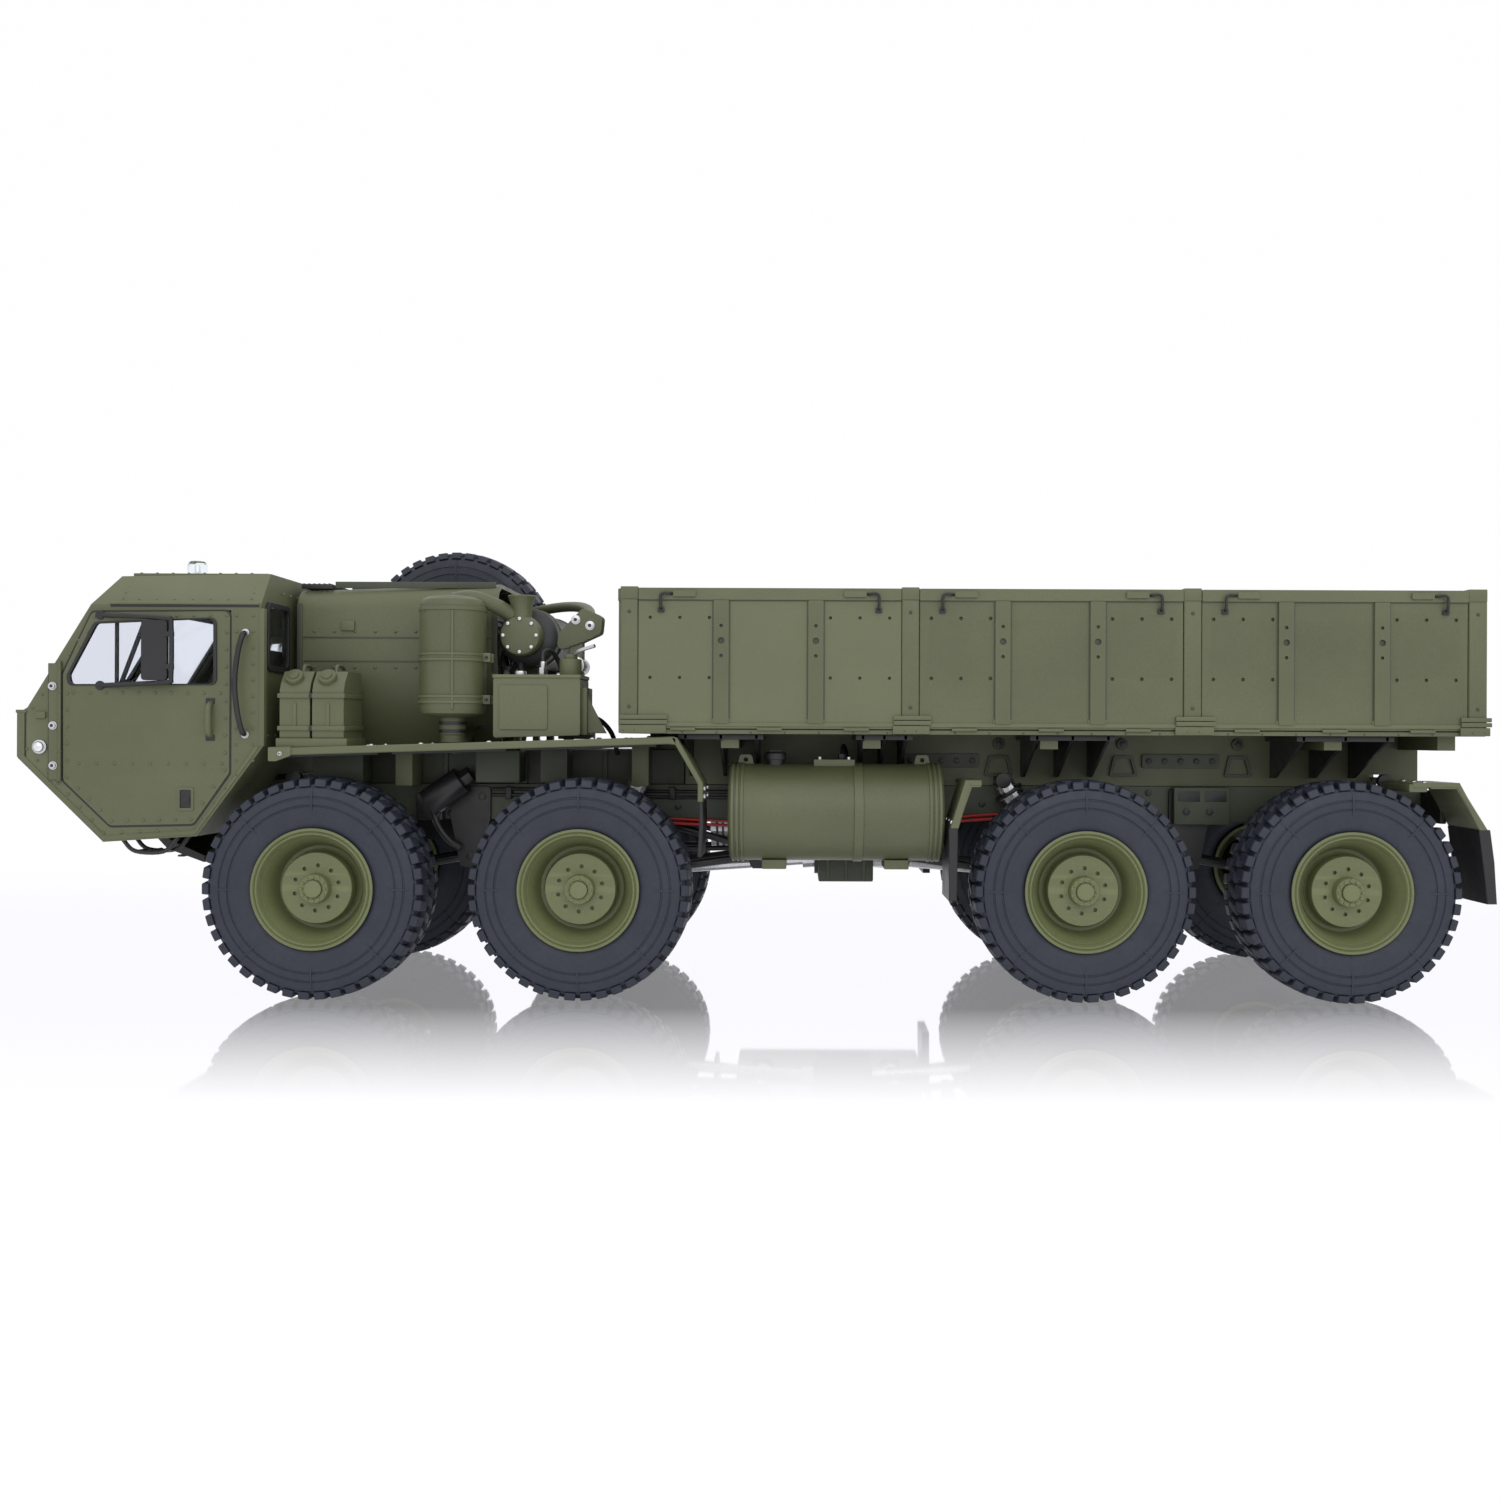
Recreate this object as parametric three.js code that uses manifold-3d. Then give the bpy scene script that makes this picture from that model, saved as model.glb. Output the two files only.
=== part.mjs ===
// Radio-controlled 8x8 military cargo truck, about 1/12 scale, as an assembly of separate solids.
// Millimetres. +X runs to the rear, -Y is the driver's side, +Z is up, and the tyres stand on z = 0.

import * as THREE from 'three';
import { mergeVertices } from 'three/addons/utils/BufferGeometryUtils.js';
import Module from 'manifold-3d';

const wasm = await Module();
wasm.setup();

// ---------------------------------------------------------------- driving dimensions

const GAP = 0.4; // clearance kept between neighbouring pieces

// wheels
const TYRE_RADIUS = 62.5;
const TYRE_HALF_WIDTH = 19;
const TYRE_SIDES = 20;
const RIM_FLANGE_RADIUS = 34;
const RIM_SEAT_RADIUS = 28.8;
const RIM_BARREL_RADIUS = 26.5;
const RIM_SIDES = 16;
const TRACK_OUTSIDE = 102; // from the centre plane to the outer face of a tyre
const WHEEL_Y = TRACK_OUTSIDE - TYRE_HALF_WIDTH;
const TANDEM_SPACING = 148.2;
const FRONT_BOGIE_X = -172.8;
const REAR_BOGIE_X = 258.1;
const AXLE_X = [
  FRONT_BOGIE_X - TANDEM_SPACING / 2,
  FRONT_BOGIE_X + TANDEM_SPACING / 2,
  REAR_BOGIE_X - TANDEM_SPACING / 2,
  REAR_BOGIE_X + TANDEM_SPACING / 2,
];
const KINGPIN_Y = 72;

// suspension
const LINK_PIVOT_X = [FRONT_BOGIE_X, 1.3, 84, REAR_BOGIE_X];
const LINK_PIVOT_Z = 76;
const LINK_Y = 24;
const SHOCK_Y = 43;
const SHOCK_TOP_Z = 123;
const SHOCK_TOP_X = [AXLE_X[0] - 28, AXLE_X[1] + 28, AXLE_X[2] - 39, AXLE_X[3] + 39];

// chassis
const RAIL_OUT = 36;
const RAIL_IN = 30;
const RAIL_TOP = 119.4;
const RAIL_BOTTOM = 98.4;
const FRAME_FRONT = -363;
const FRAME_REAR = 398;

// cab
const CAB_HALF_WIDTH = 98;
const CAB_WALL = 3;
const CAB_EAVES_Z = 221;
const CAB_ROOF_Z = 240;
const CAB_ROOF_HALF_WIDTH = 82;
const TUNNEL_HALF_WIDTH = 40;
const TUNNEL_TOP = 125;
const SCREEN_FOOT = [-406.9, 163.3];
const SCREEN_HEAD = [-361, 238.3];
const CAB_SIDE = [
  [-364.4, 88.3], [-312.2, 91.7], [-275.5, 141.7], [-277, 240],
  SCREEN_HEAD, SCREEN_FOOT, [-412.2, 160], [-412.2, 135],
];
const DOOR_SIDE = [
  [-387.2, 122.2], [-360.5, 96.7], [-313.6, 97.8], [-293.3, 126.7],
  [-293.3, 218], [-371.1, 217.2], [-387.7, 182.2],
];
const WINDOW_SIDE = [
  [-383.8, 175.6], [-300.8, 176.1], [-301.1, 213.9], [-369.4, 211.1], [-384.7, 181.1],
];

// deck, engine cover and what stands on them
const DECK_FRONT = -271.6;
const DECK_REAR = -46;
const DECK_Z = 141;
const DECK_SLOPE = 0.0324;
const DECK_THICKNESS = 4.2;
const DECK_OUT = 100;
const ENGINE_HALF_WIDTH = 53;
const ENGINE_COVER_X = [-272, -154];
const ENGINE_WALL = 2.5;
const SPARE_CENTRE = [-204.1, 73, 208.6];

// cargo body
const BED_FRONT = -75.5;
const BED_REAR = 406.8;
const BED_HALF_WIDTH = 100;
const BED_FLOOR_Z = 150;
const BED_LOAD_Z = 154; // the surface that carries the load
const BED_TOP_Z = 231.7;
const PANEL_FOOT_Z = 153;
const PANEL_THICKNESS = 2.4;
const POSTS_X = [[-75.5, -66.1], [81.1, 90.6], [238.2, 247.8], [396.8, 406.8]];
const POST_DEPTH = 6;

// fuel tank
const TANK_RADIUS = 28.6;
const TANK_X = [-16.5, 106.7];
const TANK_Y = -69;
const TANK_Z = 105.2;

// ---------------------------------------------------------------- materials

const paint = (color, roughness, metalness = 0) =>
  new THREE.MeshStandardMaterial({ color, roughness, metalness });

const OLIVE = paint(0x6a6f58, 0.55);
const OLIVE_RIM = paint(0x767c54, 0.5);
const RUBBER = paint(0x3b3e46, 0.85);
const BLACK = paint(0x232427, 0.6);
const STEEL = paint(0x8d9094, 0.35, 1);
const GLASS = paint(0x2a2f33, 0.1);

// ---------------------------------------------------------------- solids

// Signed volume of an indexed mesh, to find one that is inside out.
function signedVolume(positions, indices) {
  const a = new THREE.Vector3();
  const b = new THREE.Vector3();
  const c = new THREE.Vector3();
  let volume = 0;
  for (let i = 0; i < indices.length; i += 3) {
    a.fromArray(positions, indices[i] * 3);
    b.fromArray(positions, indices[i + 1] * 3);
    c.fromArray(positions, indices[i + 2] * 3);
    volume += a.dot(b.cross(c)) / 6;
  }
  return volume;
}

// A closed three.js geometry as a solid that can be joined and cut.
function solid(geometry) {
  geometry.deleteAttribute('normal');
  geometry.deleteAttribute('uv');
  const merged = mergeVertices(geometry, 1e-4);
  const vertProperties = Float32Array.from(merged.attributes.position.array);
  const corners = Array.from(merged.index.array);
  const kept = [];
  for (let i = 0; i < corners.length; i += 3) {
    const [p, q, r] = corners.slice(i, i + 3);
    if (p !== q && q !== r && r !== p) kept.push(p, q, r);
  }
  if (signedVolume(vertProperties, kept) < 0) kept.reverse();
  const mesh = new wasm.Mesh({ numProp: 3, vertProperties, triVerts: Uint32Array.from(kept) });
  return new wasm.Manifold(mesh);
}

// Box between two values on each axis, in either order.
function block([x0, x1], [y0, y1], [z0, z1]) {
  const geometry = new THREE.BoxGeometry(Math.abs(x1 - x0), Math.abs(y1 - y0), Math.abs(z1 - z0));
  geometry.translate((x0 + x1) / 2, (y0 + y1) / 2, (z0 + z1) / 2);
  return solid(geometry);
}

// Outline in (x, z) extruded along Y.
function sidePrism(outline, [y0, y1]) {
  const shape = new THREE.Shape(outline.map(([x, z]) => new THREE.Vector2(x, z)));
  const geometry = new THREE.ExtrudeGeometry(shape, { depth: Math.abs(y1 - y0), bevelEnabled: false });
  geometry.rotateX(Math.PI / 2);
  geometry.translate(0, Math.max(y0, y1), 0);
  return solid(geometry);
}

// Outline in (y, z) extruded along X.
function frontPrism(outline, [x0, x1]) {
  const shape = new THREE.Shape(outline.map(([y, z]) => new THREE.Vector2(y, z)));
  const geometry = new THREE.ExtrudeGeometry(shape, { depth: Math.abs(x1 - x0), bevelEnabled: false });
  geometry.rotateX(Math.PI / 2);
  geometry.rotateZ(Math.PI / 2);
  geometry.translate(Math.min(x0, x1), 0, 0);
  return solid(geometry);
}

// Round rod between two points.
function rod(from, to, radius, sides = 12) {
  const start = new THREE.Vector3(...from);
  const end = new THREE.Vector3(...to);
  const geometry = new THREE.CylinderGeometry(radius, radius, start.distanceTo(end), sides);
  const along = end.clone().sub(start).normalize();
  geometry.applyQuaternion(new THREE.Quaternion().setFromUnitVectors(new THREE.Vector3(0, 1, 0), along));
  geometry.translate((from[0] + to[0]) / 2, (from[1] + to[1]) / 2, (from[2] + to[2]) / 2);
  return solid(geometry);
}

// Profile of [radius, height] pairs turned about Y, with a flat facing down.
function turned(profile, sides) {
  const points = profile.map(([radius, height]) => new THREE.Vector2(radius, height));
  return solid(new THREE.LatheGeometry(points, sides, Math.PI / sides));
}

function union(...solids) {
  return solids.reduce((whole, next) => whole.add(next));
}

function cut(body, ...tools) {
  return tools.reduce((rest, tool) => rest.subtract(tool), body);
}

// Convex outline moved in by a distance; its corners run anticlockwise or clockwise.
function inset(outline, distance) {
  const count = outline.length;
  let area = 0;
  outline.forEach(([x, z], i) => {
    const [nextX, nextZ] = outline[(i + 1) % count];
    area += (x * nextZ - nextX * z) / 2;
  });
  const turn = Math.sign(area);
  const edges = outline.map(([x, z], i) => {
    const [nextX, nextZ] = outline[(i + 1) % count];
    const length = Math.hypot(nextX - x, nextZ - z);
    const normal = [(-turn * (nextZ - z)) / length, (turn * (nextX - x)) / length];
    return { normal, offset: normal[0] * x + normal[1] * z + distance };
  });
  return edges.map((edge, i) => {
    const before = edges[(i + count - 1) % count];
    const det = before.normal[0] * edge.normal[1] - before.normal[1] * edge.normal[0];
    return [
      (before.offset * edge.normal[1] - edge.offset * before.normal[1]) / det,
      (before.normal[0] * edge.offset - edge.normal[0] * before.offset) / det,
    ];
  });
}

const truck = new THREE.Group();

// Adds a named node; its geometry is kept about its own origin and placed by its position.
function addNode(name, material, body, position = [0, 0, 0]) {
  const { vertProperties, triVerts, numProp } = body.getMesh();
  const geometry = new THREE.BufferGeometry();
  geometry.setAttribute('position', new THREE.BufferAttribute(Float32Array.from(vertProperties), numProp));
  geometry.setIndex(Array.from(triVerts));
  geometry.computeVertexNormals();
  const mesh = new THREE.Mesh(geometry, material);
  mesh.name = name;
  mesh.position.set(...position);
  truck.add(mesh);
}

const SIDES = [['left', -1], ['right', 1]];
const bothSides = (make) => union(make(-1), make(1));

// ---------------------------------------------------------------- wheels

// The tyre is a hollow carcass, open towards the rim, and its flats lie on the rolling radius.
function tyre() {
  const tread = TYRE_RADIUS / Math.cos(Math.PI / TYRE_SIDES);
  const bead = RIM_SEAT_RADIUS + GAP + 0.6;
  const outside = [[bead, -15.2], [35.4, -16.6], [57, -TYRE_HALF_WIDTH], [tread, -15]];
  const mirrored = outside.map(([radius, y]) => [radius, -y]).reverse();
  const inside = [[bead, 12.5], [57.5, 13], [57.5, -13], [bead, -12.5]];
  const profile = [...outside, ...mirrored, ...inside, outside[0]];
  return turned(profile, TYRE_SIDES);
}

// The rim has a deep barrel, a recessed disc and a hub boss; outward is -1 or 1 along Y.
function rim(outward) {
  const profile = [
    [0, 18.5], [8.3, 18.5], [8.3, 10], [20, 10], [24.5, 19], [RIM_FLANGE_RADIUS, 19],
    [RIM_FLANGE_RADIUS, 17.4], [RIM_SEAT_RADIUS, 16], [RIM_SEAT_RADIUS, -17],
    [RIM_BARREL_RADIUS, -17], [RIM_BARREL_RADIUS, 6], [0, 6],
  ];
  return turned(profile.map(([radius, y]) => [radius, y * outward]), RIM_SIDES);
}

function addWheels() {
  AXLE_X.forEach((x, i) => {
    for (const [name, side] of SIDES) {
      const centre = [x, side * WHEEL_Y, TYRE_RADIUS];
      addNode(`tyre_${i + 1}_${name}`, RUBBER, tyre(), centre);
      addNode(`rim_${i + 1}_${name}`, OLIVE_RIM, rim(side), centre);
    }
  });
  addNode('spare_tyre', RUBBER, tyre(), SPARE_CENTRE);
  addNode('spare_rim', OLIVE_RIM, rim(1), SPARE_CENTRE);
}

// ---------------------------------------------------------------- axles and suspension

const hubEnd = WHEEL_Y + 6 - GAP; // where an axle or knuckle stops short of the rim's disc

// Direction from a shock's foot on the axle to its eye on the frame, and its length.
function shockLine(i) {
  const rise = SHOCK_TOP_Z - TYRE_RADIUS;
  const lean = SHOCK_TOP_X[i] - AXLE_X[i];
  const length = Math.hypot(lean, rise);
  return { length, along: [lean / length, rise / length] };
}

function onShock(i, side, distance) {
  const { along } = shockLine(i);
  return [AXLE_X[i] + along[0] * distance, side * SHOCK_Y, TYRE_RADIUS + along[1] * distance];
}

function axle(i) {
  const x = AXLE_X[i];
  const steered = i < 2;
  const tubeEnd = steered ? 60 : hubEnd;
  const link = (side) => {
    const pivot = [LINK_PIVOT_X[i], side * LINK_Y, LINK_PIVOT_Z];
    const eye = rod([pivot[0], side * 20, pivot[2]], [pivot[0], side * 29.4, pivot[2]], 4.5, 10);
    return union(rod([x, side * LINK_Y, TYRE_RADIUS], pivot, 2.5, 8), eye);
  };
  const damperRod = (side) => rod([x, side * SHOCK_Y, TYRE_RADIUS], onShock(i, side, shockLine(i).length - 30), 1.8, 8);
  const parts = [
    rod([x, -tubeEnd, TYRE_RADIUS], [x, tubeEnd, TYRE_RADIUS], 7, 12),
    rod([x, -15, TYRE_RADIUS], [x, 15, TYRE_RADIUS], 17, 14),
    bothSides(link),
    bothSides(damperRod),
  ];
  if (steered) {
    // a fork at each end holds the knuckle's kingpin between an upper and a lower ear
    const fork = (side) => cut(
      block([x - 6, x + 6], [side * 56, side * (KINGPIN_Y + 6)], [TYRE_RADIUS - 15, TYRE_RADIUS + 15]),
      block([x - 7, x + 7], [side * 63, side * 80], [TYRE_RADIUS - 10.9, TYRE_RADIUS + 10.9]),
    );
    parts.push(bothSides(fork));
  } else {
    const drum = (side) => rod([x, side * 70, TYRE_RADIUS], [x, side * (hubEnd - 2), TYRE_RADIUS], 18, 14);
    parts.push(bothSides(drum));
  }
  return union(...parts);
}

function knuckle(i, side) {
  const x = AXLE_X[i];
  const kingpin = rod([x, side * KINGPIN_Y, TYRE_RADIUS - 10.4], [x, side * KINGPIN_Y, TYRE_RADIUS + 10.4], 4.5, 10);
  const stub = rod([x, side * KINGPIN_Y, TYRE_RADIUS], [x, side * hubEnd, TYRE_RADIUS], 6, 12);
  const carrier = rod([x, side * 80, TYRE_RADIUS], [x, side * hubEnd, TYRE_RADIUS], 14, 12);
  const arm = block([x, x + 23], [side * 70, side * 74], [TYRE_RADIUS - 3, TYRE_RADIUS + 3]);
  return union(kingpin, stub, carrier, arm);
}

// Both coil-over bodies of one axle, held by the cross shaft through their upper eyes.
function shockPair(i) {
  const { length } = shockLine(i);
  const x = SHOCK_TOP_X[i];
  const shaft = rod([x, -SHOCK_Y - 5, SHOCK_TOP_Z], [x, SHOCK_Y + 5, SHOCK_TOP_Z], 2.5, 8);
  const damper = (side) => rod(onShock(i, side, length - 42), onShock(i, side, length - 2), 6, 12);
  const bore = (side) => rod(onShock(i, side, length - 44), onShock(i, side, length - 14), 4.5, 12);
  return cut(union(shaft, bothSides(damper)), bore(-1), bore(1));
}

function addRunningGear() {
  AXLE_X.forEach((_, i) => {
    addNode(`axle_${i + 1}`, BLACK, axle(i));
    addNode(`shock_pair_${i + 1}`, STEEL, shockPair(i));
  });
  for (const i of [0, 1]) {
    for (const [name, side] of SIDES) addNode(`knuckle_${i + 1}_${name}`, BLACK, knuckle(i, side));
  }
}

// ---------------------------------------------------------------- chassis and drive

const GEARBOX_X = [36.5, 69.5];
const SHAFT_Z = 72;

function ladderFrame() {
  const rail = (side) => block([FRAME_FRONT, FRAME_REAR], [side * RAIL_IN, side * RAIL_OUT], [RAIL_BOTTOM, RAIL_TOP]);
  const crossmembers = [-357, -300, FRONT_BOGIE_X, -45, 85, REAR_BOGIE_X, 391];
  const bars = crossmembers.map((x) => block([x - 3, x + 3], [-RAIL_IN, RAIL_IN], [101, 117]));
  const hanger = (x) => bothSides((side) => sidePrism(
    [[x - 9, RAIL_BOTTOM + 1], [x + 9, RAIL_BOTTOM + 1], [x + 5, LINK_PIVOT_Z - 7], [x - 5, LINK_PIVOT_Z - 7]],
    [side * RAIL_IN, side * 34],
  ));
  return union(bothSides(rail), ...bars, ...LINK_PIVOT_X.map(hanger));
}

function frontBumper() {
  const plate = [
    [-386, 114], [-354, 80], [-332, 72], [-332, 76], [-352, 85], [-382.5, 117.5],
  ];
  const towEye = (side) => block([-384, -376], [side * 20, side * 28], [103, 111]);
  return union(sidePrism(plate, [-39.4, 39.4]), bothSides(towEye));
}

function gearbox() {
  const casing = block(GEARBOX_X, [-20, 20], [60, 114]);
  const ears = block([45, 61], [-RAIL_IN + GAP, RAIL_IN - GAP], [100, 112]);
  return union(casing, ears);
}

function propShaft(from, to) {
  const along = new THREE.Vector3(to[0] - from[0], 0, to[1] - from[1]).normalize();
  const at = ([x, z], distance) => [x + along.x * distance, 0, z + along.z * distance];
  const yokes = union(rod(at(from, 0), at(from, 9), 5, 10), rod(at(to, -9), at(to, 0), 5, 10));
  return union(rod(at(from, 4), at(to, -4), 3, 10), yokes);
}

function addChassis() {
  addNode('ladder_frame', BLACK, ladderFrame());
  addNode('front_bumper', BLACK, frontBumper());
  addNode('gearbox', BLACK, gearbox());
  addNode('drive_motor', STEEL, rod([-30, 0, 97], [GEARBOX_X[0] - GAP, 0, 97], 17.5, 16));
  addNode('steering_servo', BLACK, union(
    block([-222, -184], [-10, 10], [84, 119]),
    rod([-212, 0, 80], [-212, 0, 85], 4, 10),
  ));
  addNode('battery_pack', BLACK, block([-265, -150], [-24, 24], [120, 140]));
  const diffReach = 17 + 1.2;
  addNode('prop_shaft_front', STEEL, propShaft(
    [AXLE_X[1] + diffReach, TYRE_RADIUS + 1.5], [GEARBOX_X[0] - 1, SHAFT_Z],
  ));
  addNode('prop_shaft_rear', STEEL, propShaft(
    [GEARBOX_X[1] + 1, SHAFT_Z], [AXLE_X[2] - diffReach, TYRE_RADIUS + 1.5],
  ));
}

// ---------------------------------------------------------------- cab

function cabSection(wall) {
  const half = CAB_HALF_WIDTH - wall;
  const roofHalf = CAB_ROOF_HALF_WIDTH - wall * 0.4;
  const roof = CAB_ROOF_Z - wall;
  const outline = [[-half, 80], [half, 80], [half, CAB_EAVES_Z], [roofHalf, roof], [-roofHalf, roof], [-half, CAB_EAVES_Z]];
  return sidePrism(inset(CAB_SIDE, wall), [-half, half]).intersect(frontPrism(outline, [-420, -270]));
}

// Outline of a slab parallel to the windscreen, between two distances up it and two depths behind it.
function alongScreen([low, high], [outer, inner]) {
  const length = Math.hypot(SCREEN_HEAD[0] - SCREEN_FOOT[0], SCREEN_HEAD[1] - SCREEN_FOOT[1]);
  const up = [(SCREEN_HEAD[0] - SCREEN_FOOT[0]) / length, (SCREEN_HEAD[1] - SCREEN_FOOT[1]) / length];
  const at = (distance, depth) => [
    SCREEN_FOOT[0] + up[0] * distance + up[1] * depth,
    SCREEN_FOOT[1] + up[1] * distance - up[0] * depth,
  ];
  return [at(low, outer), at(high, outer), at(high, inner), at(low, inner)];
}

function cabShell() {
  const tunnel = block([-420, -270], [-TUNNEL_HALF_WIDTH - CAB_WALL, TUNNEL_HALF_WIDTH + CAB_WALL], [80, TUNNEL_TOP + CAB_WALL]);
  const walls = cabSection(0).subtract(cabSection(CAB_WALL)).add(tunnel.intersect(cabSection(0)));
  const doorway = (side) => sidePrism(DOOR_SIDE, [side * (CAB_HALF_WIDTH - 6), side * (CAB_HALF_WIDTH + 1)]);
  const rearWindow = (side) => block([-282, -270], [side * 58, side * 90], [186, 222]);
  return cut(
    walls,
    block([-421, -269], [-TUNNEL_HALF_WIDTH, TUNNEL_HALF_WIDTH], [70, TUNNEL_TOP]),
    sidePrism(alongScreen([8, 72], [-4, 7]), [-86, 86]),
    doorway(-1),
    doorway(1),
    rearWindow(-1),
    rearWindow(1),
  );
}

// A door is a pressed panel with its window pane set into it and the mirror bracket on its outside.
function door(side) {
  const outer = CAB_HALF_WIDTH + 0.6;
  const leaf = sidePrism(inset(DOOR_SIDE, 0.6), [side * outer, side * (outer - 3)]);
  const recess = sidePrism(WINDOW_SIDE, [side * (outer + 1), side * (outer - 1)]);
  const pane = sidePrism(WINDOW_SIDE, [side * (outer - 2.4), side * (outer - 4)]);
  const arm = (z) => rod([-366, side * (outer - 1.5), z], [-324, side * (outer + 8), z], 1.2, 8);
  const plate = block([-341, -323], [side * (outer + 5), side * (outer + 8)], [179, 212]);
  return union(cut(leaf, recess, pane), arm(214.2), arm(177), rod([-324, side * (outer + 8), 177], [-324, side * (outer + 8), 214.2], 1.2, 8), plate);
}

function cabInterior() {
  const seat = (side) => union(
    block([-330, -298], [side * 34, side * 76], [130, 150]),
    sidePrism([[-303, 140], [-293, 140], [-286, 198], [-292, 198]], [side * 36, side * 74]),
  );
  const dash = sidePrism([[-398, 130], [-376, 130], [-378, 158], [-394, 164], [-398, 160]], [-90, 90]);
  const pan = block([-398, -291], [-92, 92], [TUNNEL_TOP + CAB_WALL + GAP, 131]);
  const column = rod([-386, -55, 152], [-364, -55, 168], 2, 8);
  const wheel = rod([-365, -55, 167.2], [-362.6, -55, 169], 15, 16);
  return union(pan, dash, bothSides(seat), column, wheel);
}

function addCab() {
  addNode('cab_shell', OLIVE, cabShell());
  addNode('windshield', GLASS, sidePrism(alongScreen([8.5, 71.5], [0.8, 2.4]), [-85.5, 85.5]));
  addNode('cab_interior', BLACK, cabInterior());
  for (const [name, side] of SIDES) addNode(`door_${name}`, OLIVE, door(side));
}

// ---------------------------------------------------------------- deck and engine bay

const deckTop = (x) => DECK_Z + DECK_SLOPE * (x - DECK_FRONT);

function fenderDeck(side) {
  const rearZ = deckTop(DECK_REAR);
  const strip = sidePrism([
    [DECK_FRONT, DECK_Z], [DECK_REAR, rearZ],
    [DECK_REAR, rearZ - DECK_THICKNESS], [DECK_FRONT, DECK_Z - DECK_THICKNESS],
  ], [side * RAIL_IN, side * DECK_OUT]);
  const leg = sidePrism([
    [DECK_REAR - 1, rearZ], [DECK_REAR + 1, rearZ], [-31.5, 122.5], [-31.5, 81],
    [-34, 81], [-34, 122], [DECK_REAR - 1, rearZ - 4],
  ], [side * 62, side * DECK_OUT]);
  const supports = [-262, -178, -96].map((x) => block(
    [x, x + 10], [side * RAIL_IN, side * RAIL_OUT], [RAIL_TOP + GAP, deckTop(x) - 1],
  ));
  const parts = [strip, leg, ...supports];
  if (side > 0) {
    // two chocks cradle the spare wheel
    const chock = (x, slant) => sidePrism(
      [[x - 6, deckTop(x) - 1], [x + 6, deckTop(x) - 1], [x + slant * 6, deckTop(x) + 5]],
      [56, 90],
    );
    parts.push(chock(SPARE_CENTRE[0] - 34, -1), chock(SPARE_CENTRE[0] + 34, 1));
  }
  return union(...parts);
}

function engineCover() {
  const [front, rear] = ENGINE_COVER_X;
  const outline = [
    [front, deckTop(front) + GAP], [front, 234.4], [front + 2, 235.4], [rear, 238.8], [rear, deckTop(rear) + GAP],
  ];
  const section = (wall) => {
    const half = ENGINE_HALF_WIDTH - wall;
    const crown = 239.5 - wall;
    return frontPrism([[-half, 100], [half, 100], [half, crown - 7], [half - 7, crown], [7 - half, crown], [-half, crown - 7]],
      [front - 5 + 3 * wall, rear + 5]);
  };
  const shell = sidePrism(outline, [-60, 60]).intersect(section(0));
  const below = outline.map(([x, z]) => (z < 200 ? [x + (x === rear ? 9 : 0), z - 40] : [x + (x === rear ? 9 : 0), z]));
  const room = sidePrism(inset(below, ENGINE_WALL), [-60, 60]).intersect(section(ENGINE_WALL));
  return shell.subtract(room);
}

function jerryCanRack() {
  const can = (x0, x1) => sidePrism([
    [x0, 144], [x1, 144], [x1, 180], [x1 - 3, 183.5], [x0 + 3, 183.5], [x0, 180],
  ], [-97, -62]);
  const tray = block([-268.5, -228], [-98, -60.5], [143, 145.5]);
  const spouts = union(rod([-258, -88, 183], [-258, -88, 187], 3.2, 10), rod([-239.4, -88, 183], [-239.4, -88, 187], 3.2, 10));
  return union(can(-266.6, -249.6), can(-248.6, -230), tray, spouts);
}

function airCleaner() {
  const [x, y] = [-174.6, -76];
  return union(
    rod([x, y, 159.2], [x, y, 228.4], 19, 20),
    rod([x, y, deckTop(x) + GAP], [x, y, 160], 7, 12),
    block([x + 10, x + 24], [y - 3, y + 3], [190, 196]),
  );
}

function muffler() {
  const [x, z] = [-135.8, 206.6];
  return union(
    rod([x, -56, z], [x, 51, z], 17, 16),
    rod([x - 2, -69, z], [x - 2, -55, z], 12, 16),
    rod([x - 2, -63, z], [x - 2, -63, 229], 6, 12),
    bothSides((side) => block([x - 5, x + 5], [side * 40, side * 46], [deckTop(x + 5) + GAP, z])),
  );
}

function hydraulicUnit() {
  const box = block([-148.6, -99.6], [-90, -57], [deckTop(-99.6) + GAP, 181.4]);
  const pump = rod([-107, -77, 180], [-107, -77, 195], 6.5, 12);
  return union(box, pump);
}

function addEngineBay() {
  for (const [name, side] of SIDES) addNode(`fender_deck_${name}`, OLIVE, fenderDeck(side));
  addNode('engine_cover', OLIVE, engineCover());
  addNode('jerry_can_rack', OLIVE, jerryCanRack());
  addNode('air_cleaner', OLIVE, airCleaner());
  addNode('muffler', BLACK, muffler());
  addNode('hydraulic_unit', OLIVE, hydraulicUnit());
}

// ---------------------------------------------------------------- side tanks

function addTanks() {
  const tank = union(
    rod([TANK_X[0], TANK_Y, TANK_Z], [TANK_X[1], TANK_Y, TANK_Z], TANK_RADIUS, 20),
    block([20, 70], [-RAIL_OUT - GAP, -46], [96, 116]),
    rod([10.5, -72, 131], [10.5, -72, 136], 6, 12),
  );
  const box = union(
    block([-16, 106], [40, 98], [78, 134]),
    block([20, 70], [RAIL_OUT + GAP, 42], [100, 116]),
  );
  addNode('fuel_tank', OLIVE_RIM, tank);
  addNode('battery_box', OLIVE, box);
}

// ---------------------------------------------------------------- cargo body

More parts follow.
